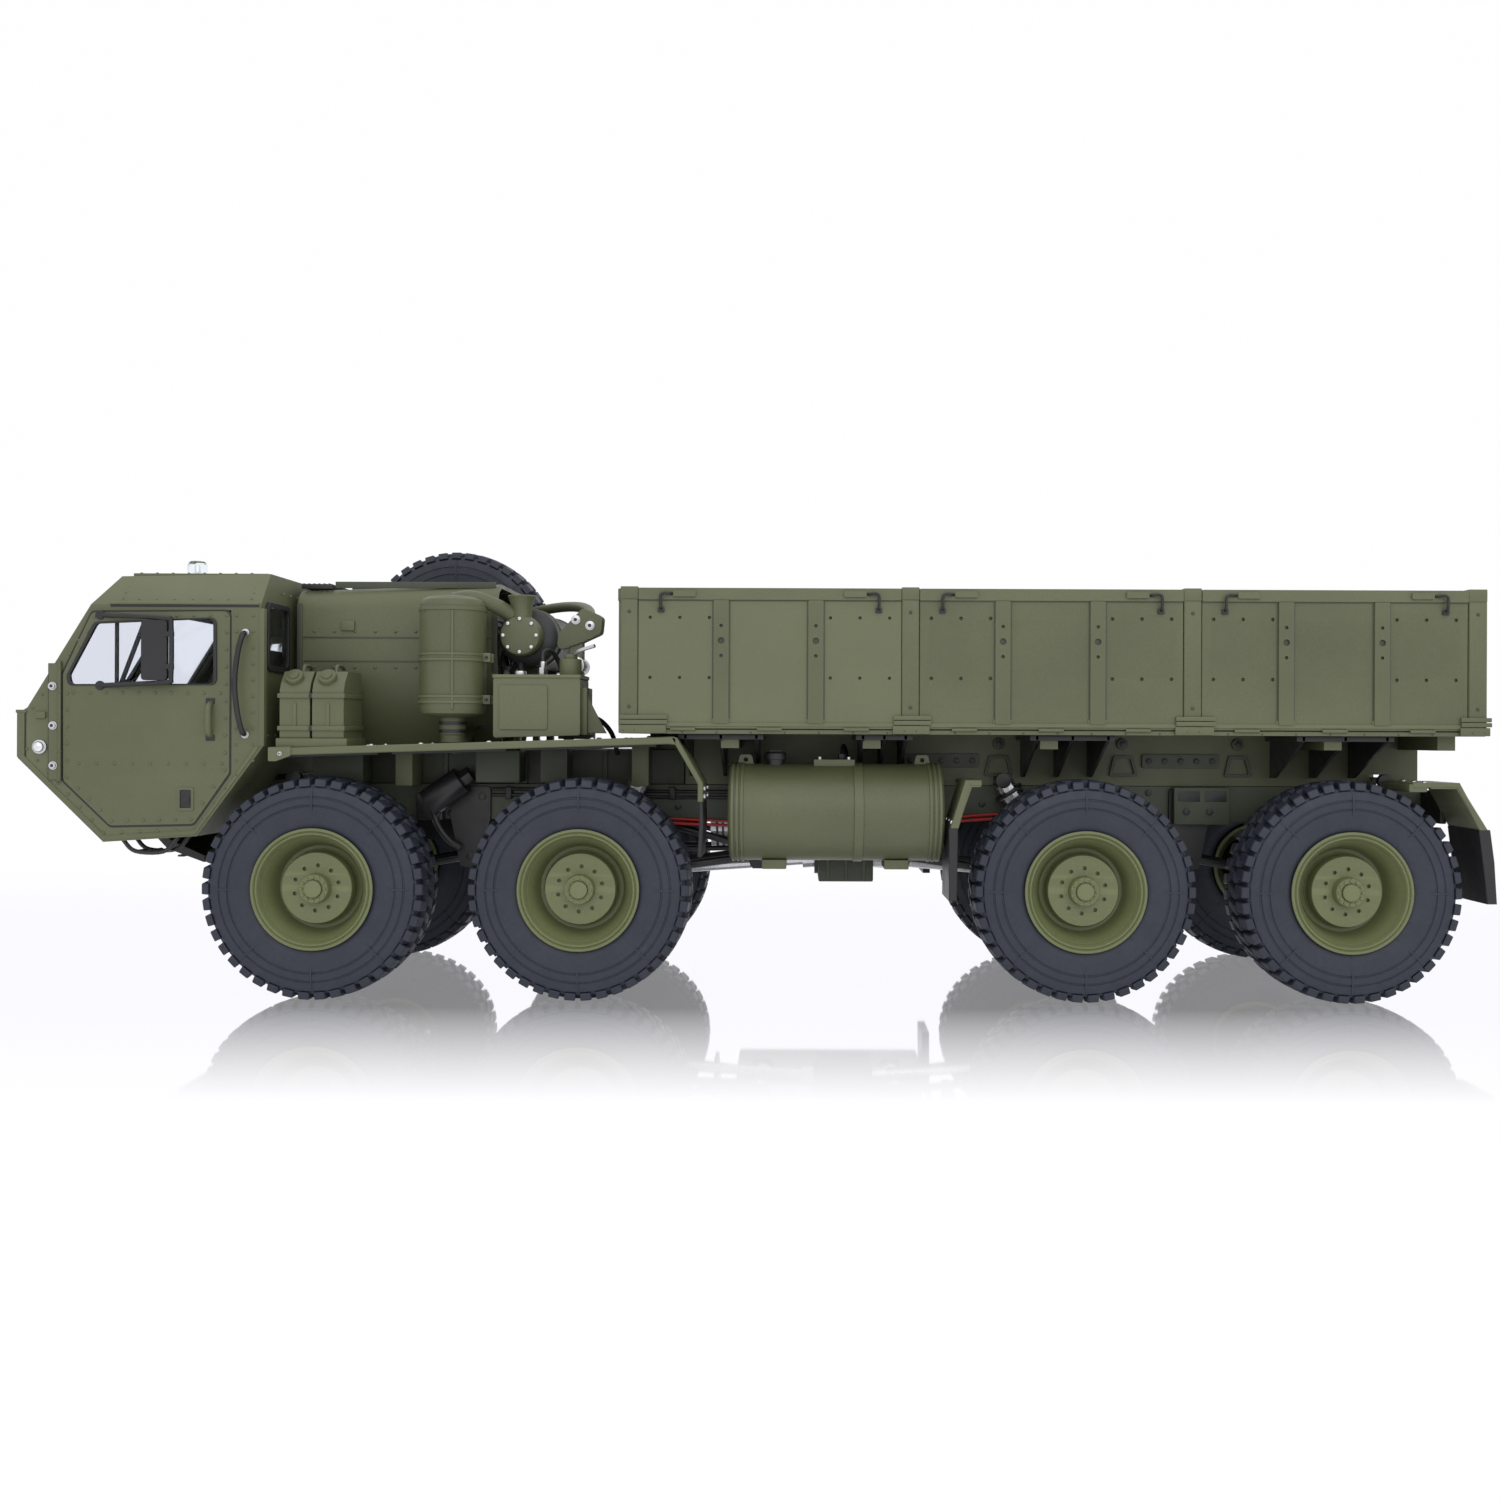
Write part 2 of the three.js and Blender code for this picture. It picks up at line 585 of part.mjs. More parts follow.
function cargoBed() {
  const floor = block([BED_FRONT + 1, BED_REAR - 3], [-BED_HALF_WIDTH + 3.5, BED_HALF_WIDTH - 3.5], [151.2, BED_LOAD_Z]);
  const edge = block([BED_FRONT + 0.2, BED_REAR - 0.4], [-BED_HALF_WIDTH + 0.5, BED_HALF_WIDTH - 0.5], [BED_FLOOR_Z, 152.2]);
  const headboard = block([BED_FRONT + 0.5, BED_FRONT + 3.5], [-BED_HALF_WIDTH + 1, BED_HALF_WIDTH - 1], [151.6, BED_TOP_Z - 0.7]);
  const posts = POSTS_X.map((span) => bothSides((side) => block(
    span, [side * (BED_HALF_WIDTH - POST_DEPTH), side * BED_HALF_WIDTH], [150.8, BED_TOP_Z],
  )));
  const beam = (side) => block([-44, 396], [side * RAIL_IN, side * RAIL_OUT], [RAIL_TOP + GAP, BED_FLOOR_Z + 0.6]);
  const outriggers = [-20, 60, 160, 320, 384].map((x) => block([x, x + 10], [-90, 90], [142, BED_FLOOR_Z + 0.9]));
  const notches = [1, 2, 3].map((i) => block(
    [SHOCK_TOP_X[i] - 4, SHOCK_TOP_X[i] + 4], [-40, 40], [RAIL_TOP - 2, SHOCK_TOP_Z + 4],
  ));
  const rearGuard = (side) => union(
    sidePrism([
      [376, 120.8], [390.4, 120.8], [404.5, 96.5], [409, 57], [412.3, 57], [408, 97.5], [391.5, 124], [376, 124],
    ], [side * 62, side * DECK_OUT]),
    block([380, 388], [side * 33, side * 66], [121.2, 123.5]),
  );
  const frontGuard = (side) => union(
    sidePrism([
      [117.4, 124], [125.3, 124], [125.3, 120.9], [120.4, 120.9], [111.9, 96], [111.7, 58], [108.2, 58], [108.6, 97],
    ], [side * 64, side * DECK_OUT]),
    block([118.6, 124.6], [side * 33, side * 66], [121.4, 123.5]),
  );
  const guards = [rearGuard, frontGuard].map(bothSides);
  return cut(union(floor, edge, headboard, ...posts, bothSides(beam), ...outriggers, ...guards), ...notches);
}

function sidePanel(bay, side) {
  const x0 = POSTS_X[bay][1] + GAP;
  const x1 = POSTS_X[bay + 1][0] - GAP;
  const outer = BED_HALF_WIDTH;
  const leaf = block([x0, x1], [side * (outer - PANEL_THICKNESS), side * outer], [PANEL_FOOT_Z, BED_TOP_Z - 0.5]);
  const ribs = [0.315, 0.675].map((share) => {
    const x = x0 + share * (x1 - x0);
    return block([x - 4, x + 4], [side * (outer - 1), side * (outer + 1.2)], [PANEL_FOOT_Z + 3, BED_TOP_Z - 8]);
  });
  const rail = block([x0, x1], [side * (outer - 1), side * (outer + 0.8)], [BED_TOP_Z - 7, BED_TOP_Z - 0.5]);
  return union(leaf, rail, ...ribs);
}

function addCargoBody() {
  addNode('cargo_bed', OLIVE, cargoBed());
  for (const [name, side] of SIDES) {
    for (const bay of [0, 1, 2]) addNode(`side_panel_${bay + 1}_${name}`, OLIVE, sidePanel(bay, side));
  }
  const gateHalf = BED_HALF_WIDTH - POST_DEPTH - GAP;
  addNode('tailgate', OLIVE, block(
    [BED_REAR - PANEL_THICKNESS, BED_REAR], [-gateHalf, gateHalf], [PANEL_FOOT_Z + 1.5, BED_TOP_Z - 0.5],
  ));
}

addWheels();
addRunningGear();
addChassis();
addCab();
addEngineBay();
addTanks();
addCargoBody();

export default truck;
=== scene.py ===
"""Looks of a radio-controlled 8x8 military cargo truck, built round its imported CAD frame.

Lengths in this script are millimetres in the CAD frame (+X to the rear, -Y the driver's side, +Z up).
Kit turns them into metres.
"""

import math

import bmesh
import bpy
from mathutils import Matrix, Vector
from mathutils.geometry import tessellate_polygon


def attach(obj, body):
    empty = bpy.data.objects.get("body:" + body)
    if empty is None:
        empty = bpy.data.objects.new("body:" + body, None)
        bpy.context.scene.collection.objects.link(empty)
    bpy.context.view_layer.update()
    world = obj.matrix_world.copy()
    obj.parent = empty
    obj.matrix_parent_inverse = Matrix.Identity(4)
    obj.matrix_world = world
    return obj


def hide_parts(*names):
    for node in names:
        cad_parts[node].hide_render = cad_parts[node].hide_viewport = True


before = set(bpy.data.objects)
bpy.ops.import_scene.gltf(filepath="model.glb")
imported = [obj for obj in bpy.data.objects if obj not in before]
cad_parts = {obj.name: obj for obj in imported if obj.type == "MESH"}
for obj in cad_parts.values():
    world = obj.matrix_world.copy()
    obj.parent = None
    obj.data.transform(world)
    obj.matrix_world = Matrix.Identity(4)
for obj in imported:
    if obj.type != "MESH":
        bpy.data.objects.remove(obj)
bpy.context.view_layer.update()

MM = 0.001
SIDES = {"left": -1, "right": 1}
AXLE_X = [-246.9, -98.7, 184.0, 332.2]
AXLE_Z = 62.5
WHEEL_Y = 83.0
SPARE_CENTRE = (-204.1, 73.0, 208.6)


# ---------------------------------------------------------------- materials


def new_material(name):
    material = bpy.data.materials.new(name)
    material.use_nodes = True
    tree = material.node_tree
    return material, tree, tree.nodes["Principled BSDF"]


def add_node(tree, kind, **inputs):
    node = tree.nodes.new(kind)
    for key, value in inputs.items():
        node.inputs[key.replace("_", " ")].default_value = value
    return node


def noise(tree, scale, detail=4.0, roughness=0.6):
    """Noise in the object's own coordinates, so that it rides with the piece."""
    coords = tree.nodes.new("ShaderNodeTexCoord")
    texture = add_node(tree, "ShaderNodeTexNoise", Scale=scale, Detail=detail, Roughness=roughness)
    tree.links.new(coords.outputs["Object"], texture.inputs["Vector"])
    return texture.outputs["Fac"]


def ramp(tree, source, low, high, start=0.3, end=0.7):
    node = tree.nodes.new("ShaderNodeValToRGB")
    node.color_ramp.elements[0].position = start
    node.color_ramp.elements[1].position = end
    node.color_ramp.elements[0].color = (*low, 1)
    node.color_ramp.elements[1].color = (*high, 1)
    tree.links.new(source, node.inputs["Fac"])
    return node.outputs["Color"]


def mix(tree, factor, a, b, mode="MIX"):
    node = tree.nodes.new("ShaderNodeMix")
    node.data_type = "RGBA"
    node.blend_type = mode
    for socket, value in (("Factor", factor), ("A", a), ("B", b)):
        target = [s for s in node.inputs if s.name == socket and s.enabled][0]
        if isinstance(value, bpy.types.NodeSocket):
            tree.links.new(value, target)
        else:
            target.default_value = value if socket == "Factor" else (*value, 1)
    return [s for s in node.outputs if s.enabled][0]


def grey(value):
    return (value, value, value)


def bumpy(tree, shader, layers):
    """Stacks bump layers of (height socket, distance in millimetres, strength)."""
    previous = None
    for height, distance, strength in layers:
        bump = add_node(tree, "ShaderNodeBump", Strength=strength, Distance=distance * MM)
        tree.links.new(height, bump.inputs["Height"])
        if previous:
            tree.links.new(previous, bump.inputs["Normal"])
        previous = bump.outputs["Normal"]
    tree.links.new(previous, shader.inputs["Normal"])


def satin_paint(name, base, roughness=0.46, grain=0.12):
    """Sprayed satin paint: cloudy tone, a fine spray grain, faint dust and edges rubbed lighter."""
    material, tree, shader = new_material(name)
    darker = tuple(c * 0.9 for c in base)
    lighter = tuple(c * 1.1 + 0.003 for c in base)
    cloud = ramp(tree, noise(tree, 14.0, 5.0), darker, lighter)
    speckle = ramp(tree, noise(tree, 1500.0, 2.0), grey(0.9), grey(1.08), 0.35, 0.65)
    tone = mix(tree, 1.0, cloud, speckle, "MULTIPLY")
    edge = tree.nodes.new("ShaderNodeNewGeometry").outputs["Pointiness"]
    rubbed = ramp(tree, edge, grey(0.0), grey(0.35), 0.53, 0.62)
    worn = mix(tree, rubbed, tone, tuple(min(c * 1.7 + 0.02, 1.0) for c in base))
    tree.links.new(worn, shader.inputs["Base Color"])
    gloss = ramp(tree, noise(tree, 60.0, 6.0), grey(roughness - 0.06), grey(roughness + 0.08))
    tree.links.new(gloss, shader.inputs["Roughness"])
    bumpy(tree, shader, [(noise(tree, 260.0, 3.0), 0.08, grain),
                         (noise(tree, 2200.0, 2.0), 0.03, grain * 1.6)])
    return material


def moulded_rubber(name, base):
    """Dry moulded rubber with a faint bloom and a fine sandy skin."""
    material, tree, shader = new_material(name)
    cloud = ramp(tree, noise(tree, 30.0, 6.0, 0.7), tuple(c * 0.82 for c in base),
                 tuple(c * 1.16 for c in base))
    bloom = ramp(tree, noise(tree, 420.0, 4.0), grey(0.88), grey(1.1), 0.35, 0.7)
    tree.links.new(mix(tree, 1.0, cloud, bloom, "MULTIPLY"), shader.inputs["Base Color"])
    gloss = ramp(tree, noise(tree, 90.0, 5.0), grey(0.5), grey(0.66))
    tree.links.new(gloss, shader.inputs["Roughness"])
    bumpy(tree, shader, [(noise(tree, 900.0, 4.0), 0.06, 0.25)])
    return material


def moulded_plastic(name, base, roughness=0.42, texture=700.0, strength=0.2):
    material, tree, shader = new_material(name)
    cloud = ramp(tree, noise(tree, 40.0, 4.0), tuple(c * 0.85 for c in base), tuple(c * 1.2 for c in base))
    tree.links.new(cloud, shader.inputs["Base Color"])
    gloss = ramp(tree, noise(tree, 120.0, 4.0), grey(roughness - 0.05), grey(roughness + 0.1))
    tree.links.new(gloss, shader.inputs["Roughness"])
    bumpy(tree, shader, [(noise(tree, texture, 3.0), 0.06, strength)])
    return material


def metal(name, base, roughness=0.3, scratch=0.15):
    """Machined metal with fine random scratches."""
    material, tree, shader = new_material(name)
    shader.inputs["Metallic"].default_value = 1.0
    tree.links.new(ramp(tree, noise(tree, 50.0, 5.0), tuple(c * 0.85 for c in base), base),
                   shader.inputs["Base Color"])
    gloss = ramp(tree, noise(tree, 700.0, 3.0), grey(roughness - 0.08), grey(roughness + 0.12))
    tree.links.new(gloss, shader.inputs["Roughness"])
    bumpy(tree, shader, [(noise(tree, 1200.0, 2.0), 0.03, scratch)])
    return material


def clear_plastic(name, tint, roughness=0.04):
    """Thin clear window or lens with a faint smear."""
    material, tree, shader = new_material(name)
    shader.inputs["Base Color"].default_value = (*tint, 1)
    shader.inputs["Transmission Weight"].default_value = 1.0
    shader.inputs["IOR"].default_value = 1.1
    gloss = ramp(tree, noise(tree, 45.0, 5.0), grey(roughness), grey(roughness + 0.05))
    tree.links.new(gloss, shader.inputs["Roughness"])
    return material


MATERIALS = {name: make(name, *values) for name, make, *values in (
    ("olive_paint", satin_paint, (0.087, 0.096, 0.046)),
    ("rim_olive", satin_paint, (0.124, 0.139, 0.060), 0.42),
    ("frame_olive", satin_paint, (0.040, 0.047, 0.028), 0.5),
    ("tyre_rubber", moulded_rubber, (0.018, 0.023, 0.038)),
    ("black_metal", moulded_plastic, (0.014, 0.014, 0.016), 0.38, 1400.0, 0.12),
    ("black_plastic", moulded_plastic, (0.012, 0.012, 0.014), 0.42),
    ("seat_plastic", moulded_plastic, (0.05, 0.05, 0.048), 0.55),
    ("heat_shield", moulded_plastic, (0.03, 0.031, 0.034), 0.5, 1900.0, 0.9),
    ("red_lead", moulded_plastic, (0.42, 0.012, 0.01), 0.35),
    ("steel", metal, (0.62, 0.63, 0.65)),
    ("chrome", metal, (0.85, 0.86, 0.88), 0.16, 0.05),
    ("lens_clear", clear_plastic, (0.93, 0.95, 0.97)),
    ("window_clear", clear_plastic, (0.86, 0.88, 0.92)),
    ("lens_amber", clear_plastic, (0.95, 0.38, 0.04)),
    ("lens_red", clear_plastic, (0.75, 0.03, 0.02)),
)}

# ---------------------------------------------------------------- shapes


def rounded(points, radius, steps=4):
    """An outline with its corners rounded; radius is one number or one for each corner."""
    result = []
    count = len(points)
    radii = radius if isinstance(radius, (list, tuple)) else [radius] * count
    for i, corner in enumerate(points):
        here = Vector(corner)
        before = Vector(points[i - 1]) - here
        after = Vector(points[(i + 1) % count]) - here
        if radii[i] <= 0:
            result.append(tuple(here))
            continue
        half = before.angle(after) / 2
        reach = min(radii[i] / math.tan(half), before.length * 0.49, after.length * 0.49)
        start, end = here + before.normalized() * reach, here + after.normalized() * reach
        for step in range(steps + 1):
            t = step / steps
            result.append(tuple((1 - t) ** 2 * start + 2 * t * (1 - t) * here + t * t * end))
    return result


def rect(a0, a1, b0, b1, radius=0, steps=4):
    """A rectangle between two values on each axis, with its corners rounded if a radius is given."""
    corners = [(a0, b0), (a1, b0), (a1, b1), (a0, b1)]
    return rounded(corners, radius, steps) if radius else corners


def circle(centre, radius, steps, phase=0.0):
    """Points evenly spaced round a circle; the phase is a share of one step."""
    turns = [2 * math.pi * (i + phase) / steps for i in range(steps)]
    return [(centre[0] + radius * math.cos(t), centre[1] + radius * math.sin(t)) for t in turns]


def along_outline(points, spacing, closed=True):
    """Points a fixed distance apart along an outline, as for a row of rivets."""
    result = []
    count = len(points)
    for i in range(count if closed else count - 1):
        a, b = Vector(points[i]), Vector(points[(i + 1) % count])
        steps = max(1, round((b - a).length / spacing))
        result += [tuple(a.lerp(b, k / steps)) for k in range(steps)]
    if not closed:
        result.append(tuple(points[-1]))
    return result


def scaled_about(points, centre, margin):
    """An outline moved in towards a centre by about a margin."""
    moved = []
    for point in points:
        arm = Vector(point) - Vector(centre)
        moved.append(tuple(Vector(centre) + arm * (1 - margin / max(arm.length, 1e-6))))
    return moved


PLANES = {
    "xz": lambda a, b, depth: (a, depth, b),
    "yz": lambda a, b, depth: (depth, a, b),
    "xy": lambda a, b, depth: (a, b, depth),
}


class Kit:
    """Collects shapes into one piece."""

    def __init__(self):
        self.bm = bmesh.new()

    def _bevel(self, edges, width, segments=2):
        if width > 0 and edges:
            bmesh.ops.bevel(self.bm, geom=edges, offset=width, segments=segments, affect="EDGES", profile=0.6,
                            clamp_overlap=True)

    def hull(self, bottom, top, bevel=0.4, segments=2):
        """A solid between two loops of the same number of points."""
        lower = [self.bm.verts.new(p) for p in bottom]
        upper = [self.bm.verts.new(p) for p in top]
        count = len(lower)
        faces = [self.bm.faces.new(lower[::-1]), self.bm.faces.new(upper)]
        faces += [self.bm.faces.new((lower[i], lower[(i + 1) % count], upper[(i + 1) % count], upper[i]))
                  for i in range(count)]
        bmesh.ops.recalc_face_normals(self.bm, faces=faces)
        edges = list({e for f in faces for e in f.edges})
        sharp = [e for e in edges if len(e.link_faces) == 2 and e.calc_face_angle(0) > 0.45]
        self._bevel(sharp, bevel, segments)

    def box(self, x, y, z, bevel=0.4):
        """A box between two values on each axis; y may run either way, so that a side can be mirrored."""
        y = sorted(y)
        corners = [(x[0], y[0]), (x[1], y[0]), (x[1], y[1]), (x[0], y[1])]
        self.hull([(a, b, z[0]) for a, b in corners], [(a, b, z[1]) for a, b in corners], bevel)

    def plate(self, outline, depth, plane="xz", holes=(), bevel=0.25):
        """An outline, with holes, as thick as the two depths are apart."""
        to_world = PLANES[plane]
        loops = [outline, *holes]
        triangles = tessellate_polygon([[Vector((a, b, 0)) for a, b in loop] for loop in loops])
        flat = [point for loop in loops for point in loop]
        near = [self.bm.verts.new(to_world(*p, depth[0])) for p in flat]
        far = [self.bm.verts.new(to_world(*p, depth[1])) for p in flat]
        faces = []
        for a, b, c in triangles:
            if len({a, b, c}) == 3:
                faces.append(self.bm.faces.new((near[a], near[b], near[c])))
                faces.append(self.bm.faces.new((far[c], far[b], far[a])))
        rims = []
        start = 0
        for loop in loops:
            size = len(loop)
            for i in range(size):
                p, q = start + i, start + (i + 1) % size
                faces.append(self.bm.faces.new((near[p], near[q], far[q], far[p])))
                rims += [(near[p], near[q]), (far[p], far[q])]
            start += size
        bmesh.ops.recalc_face_normals(self.bm, faces=faces)
        edges = [self.bm.edges.get(pair) for pair in rims]
        self._bevel([e for e in edges if e], bevel, 1)

    def cylinder(self, start, end, radius, end_radius=None, sides=24, bevel=0.25):
        start, end = Vector(start), Vector(end)
        axis = (end - start).normalized()
        side = axis.orthogonal().normalized()
        other = axis.cross(side)
        far = radius if end_radius is None else end_radius
        loops = []
        for centre, size in ((start, radius), (end, far)):
            loops.append([centre + (side * math.cos(t) + other * math.sin(t)) * size
                          for t in (2 * math.pi * i / sides for i in range(sides))])
        self.hull(*loops, bevel=bevel)

    def tube(self, points, radius, sides=10, smooth=True):
        """A bent wire or hose through the points."""
        path = [Vector(p) for p in points]
        if smooth:
            path = smooth_path(path)
        side = (path[1] - path[0]).orthogonal().normalized()
        rings = []
        for i, point in enumerate(path):
            ahead = path[min(i + 1, len(path) - 1)] - path[max(i - 1, 0)]
            ahead.normalize()
            side = (side - ahead * side.dot(ahead)).normalized()
            other = ahead.cross(side)
            rings.append([self.bm.verts.new(point + (side * math.cos(t) + other * math.sin(t)) * radius)
                          for t in (2 * math.pi * k / sides for k in range(sides))])
        faces = [self.bm.faces.new(rings[0][::-1]), self.bm.faces.new(rings[-1])]
        for a, b in zip(rings, rings[1:]):
            for k in range(sides):
                n = (k + 1) % sides
                faces.append(self.bm.faces.new((a[k], a[n], b[n], b[k])))
        bmesh.ops.recalc_face_normals(self.bm, faces=faces)

    def revolve(self, profile, centre=(0, 0, 0), axis="Y", sides=96, closed=False):
        """A profile of (radius, height) turned about an axis through a centre."""
        turn = {
            "Y": lambda r, h, t: (r * math.sin(t), h, r * math.cos(t)),
            "Z": lambda r, h, t: (r * math.cos(t), r * math.sin(t), h),
            "X": lambda r, h, t: (h, r * math.cos(t), r * math.sin(t)),
        }[axis]
        origin = Vector(centre)
        rings = []
        for radius, height in profile:
            if radius < 1e-6:
                rings.append([self.bm.verts.new(origin + Vector(turn(0, height, 0)))])
            else:
                ring = [Vector(turn(radius, height, 2 * math.pi * k / sides)) for k in range(sides)]
                rings.append([self.bm.verts.new(origin + point) for point in ring])
        faces = []
        pairs = list(zip(rings, rings[1:]))
        if closed:
            pairs.append((rings[-1], rings[0]))
        for a, b in pairs:
            for k in range(sides):
                n = (k + 1) % sides
                if len(a) == 1 and len(b) == 1:
                    continue
                if len(a) == 1:
                    faces.append(self.bm.faces.new((a[0], b[k], b[n])))
                elif len(b) == 1:
                    faces.append(self.bm.faces.new((a[k], b[0], a[n])))
                else:
                    faces.append(self.bm.faces.new((a[k], b[k], b[n], a[n])))
        bmesh.ops.recalc_face_normals(self.bm, faces=faces)

    def rivet(self, point, normal, radius=0.95, height=0.7):
        """A low domed head standing on a surface."""
        foot, up = Vector(point), Vector(normal).normalized()
        side = up.orthogonal().normalized()
        other = up.cross(side)
        rings = []
        for share, rise in ((1.0, -0.2), (1.0, 0.15), (0.78, 0.7), (0.4, 1.0)):
            rings.append([self.bm.verts.new(
                foot + up * height * rise + (side * math.cos(t) + other * math.sin(t)) * radius * share)
                for t in (2 * math.pi * k / 8 for k in range(8))])
        self.bm.faces.new(rings[0][::-1])
        self.bm.faces.new(rings[-1])
        for a, b in zip(rings, rings[1:]):
            for k in range(8):
                self.bm.faces.new((a[k], a[(k + 1) % 8], b[(k + 1) % 8], b[k]))

    def rivet_row(self, points, y, side):
        """Rivets at points (x, z) of an upright face."""
        for x, z in points:
            self.rivet((x, y, z), (0, side, 0))

    def mesh(self, name):
        mesh = bpy.data.meshes.new(name)
        bmesh.ops.scale(self.bm, vec=(MM, MM, MM), verts=self.bm.verts)
        self.bm.to_mesh(mesh)
        self.bm.free()
        return mesh

    def piece(self, name, material, body="chassis", stands_for=(), smooth=35.0, origin=(0, 0, 0)):
        return place(name, self.mesh(name), material, body, stands_for, smooth, origin)


def place(name, mesh, material, body="chassis", stands_for=(), smooth=35.0, origin=(0, 0, 0), turn=0.0):
    """Puts a mesh in the scene on a body, in place of the CAD nodes that it stands for."""
    if not mesh.materials:
        mesh.materials.append(MATERIALS[material])
        for polygon in mesh.polygons:
            polygon.use_smooth = True
        mesh.set_sharp_from_angle(angle=math.radians(smooth))
    obj = bpy.data.objects.new(name, mesh)
    obj.location = [v * MM for v in origin]
    obj.rotation_euler = (0, 0, turn)
    bpy.context.scene.collection.objects.link(obj)
    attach(obj, body)
    if stands_for:
        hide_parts(*stands_for)
    return obj


def smooth_path(points, steps=5):
    """Catmull-Rom points through a path."""
    result = []
    padded = [points[0] * 2 - points[1], *points, points[-1] * 2 - points[-2]]
    for i in range(1, len(padded) - 2):
        p0, p1, p2, p3 = padded[i - 1:i + 3]
        for k in range(steps):
            t = k / steps
            result.append(0.5 * ((2 * p1) + (p2 - p0) * t + (2 * p0 - 5 * p1 + 4 * p2 - p3) * t * t
                                 + (3 * p1 - p0 - 3 * p2 + p3) * t ** 3))
    result.append(points[-1])
    return result


def socket_screw(kit, dark, point, normal, radius):
    """A cap screw: a washer and head in one kit, the socket in it in another, drawn as a flat dark hex on the
    head: painted shade of the recess.
    """
    foot, up = Vector(point), Vector(normal).normalized()
    kit.cylinder(foot - up * 0.3, foot + up * 0.5, radius * 1.25, sides=20, bevel=0.15)
    kit.cylinder(foot + up * 0.4, foot + up * 1.7, radius, sides=20, bevel=0.3)
    # painted shade: the socket recess drawn as a dark hex disc standing on the head, not as a hole
    dark.cylinder(foot + up * 1.2, foot + up * 1.75, radius * 0.52, sides=6, bevel=0)


def side_screws(kit, dark, points, y, side, radius):
    """Cap screws at points (x, z) of an upright face."""
    for x, z in points:
        socket_screw(kit, dark, (x, y, z), (0, side, 0), radius)


# ---------------------------------------------------------------- wheels

TYRE_RADIUS = 62.5
LUGS = 42
SIDEWALL_BAR = [(35.8, 17.5), (46.0, 18.7), (51.5, 18.5), (56.4, 17.6)]
BAR_HALF = 0.5


def tyre_mesh():
    """A carcass with stepped sidewalls, shoulder lugs on both sides and a staggered middle row."""
    kit = Kit()
    side = [
        (29.6, 15.0), (33.9, 16.7), (35.2, 17.6), (37.5, 18.3), (41.5, 18.8), (45.9, 18.9), (46.2, 18.45),
        (46.9, 18.45), (47.2, 18.95), (50.7, 18.85), (51.0, 18.3), (51.7, 18.2), (52.0, 18.6), (55.2, 18.2),
        (56.6, 17.7), (57.0, 17.1), (58.0, 16.6), (58.6, 15.6), (58.9, 10.0),
    ]
    inner = [(57.0, 12.0), (29.6, 11.5)]
    profile = side + [(r, -y) for r, y in reversed(side)] + [(r, -y) for r, y in reversed(inner)] + inner
    kit.revolve(profile, sides=168, closed=True)
    pitch = 2 * math.pi / LUGS

    def on_tyre(radius, y, angle):
        return (radius * math.sin(angle), y, radius * math.cos(angle))

    def lug(angle, spread, low, high, foot_low, foot_high, skew=0.0):
        """A block standing on the carcass between two distances across the tread."""
        top = [(-spread, low), (spread, low), (spread * 0.9, high), (-spread * 0.9, high)]
        foot = [(-spread * 1.12, foot_low), (spread * 1.12, foot_low), (spread, foot_high),
                (-spread, foot_high)]
        crown = [TYRE_RADIUS if abs(y) < 12 else TYRE_RADIUS - 0.9 for _, y in top]
        kit.hull(
            [on_tyre(57.4 if abs(y) > 14 else 58.4, y, angle + a + skew * (y - foot_low)) for a, y in foot],
            [on_tyre(r, y, angle + a + skew * (y - low)) for (a, y), r in zip(top, crown)],
            bevel=0.45, segments=1,
        )

    for i in range(LUGS):
        angle = i * pitch
        for sign in (-1, 1):
            offset = 0 if sign > 0 else pitch / 2
            lug(angle + offset, pitch * 0.33, sign * 17.3, sign * 7.2, sign * 18.6, sign * 6.6,
                -sign * 0.0015)
        lug(angle + pitch * 0.25, pitch * 0.3, -5.2, 5.2, -5.8, 5.8, 0.006)

    def bar_loop(sign, lift, angle, near, far):
        """Four corners of a sidewall bar at one height above the rubber; near and far are (radius, y)."""
        corners = []
        for (radius, y), ends in ((near, (-1, 1)), (far, (1, -1))):
            corners += [on_tyre(radius, sign * (y + lift), angle + end * BAR_HALF / radius) for end in ends]
        return corners

    for i in range(8):
        for sign in (-1, 1):
            for near, far in zip(SIDEWALL_BAR, SIDEWALL_BAR[1:]):
                kit.hull(*[bar_loop(sign, lift, i * math.pi / 4, near, far) for lift in (-0.5, 0.6)], bevel=0)
    return kit.mesh("tyre")


DISC_FACE = 9.6
BOLT_HOLES = 10


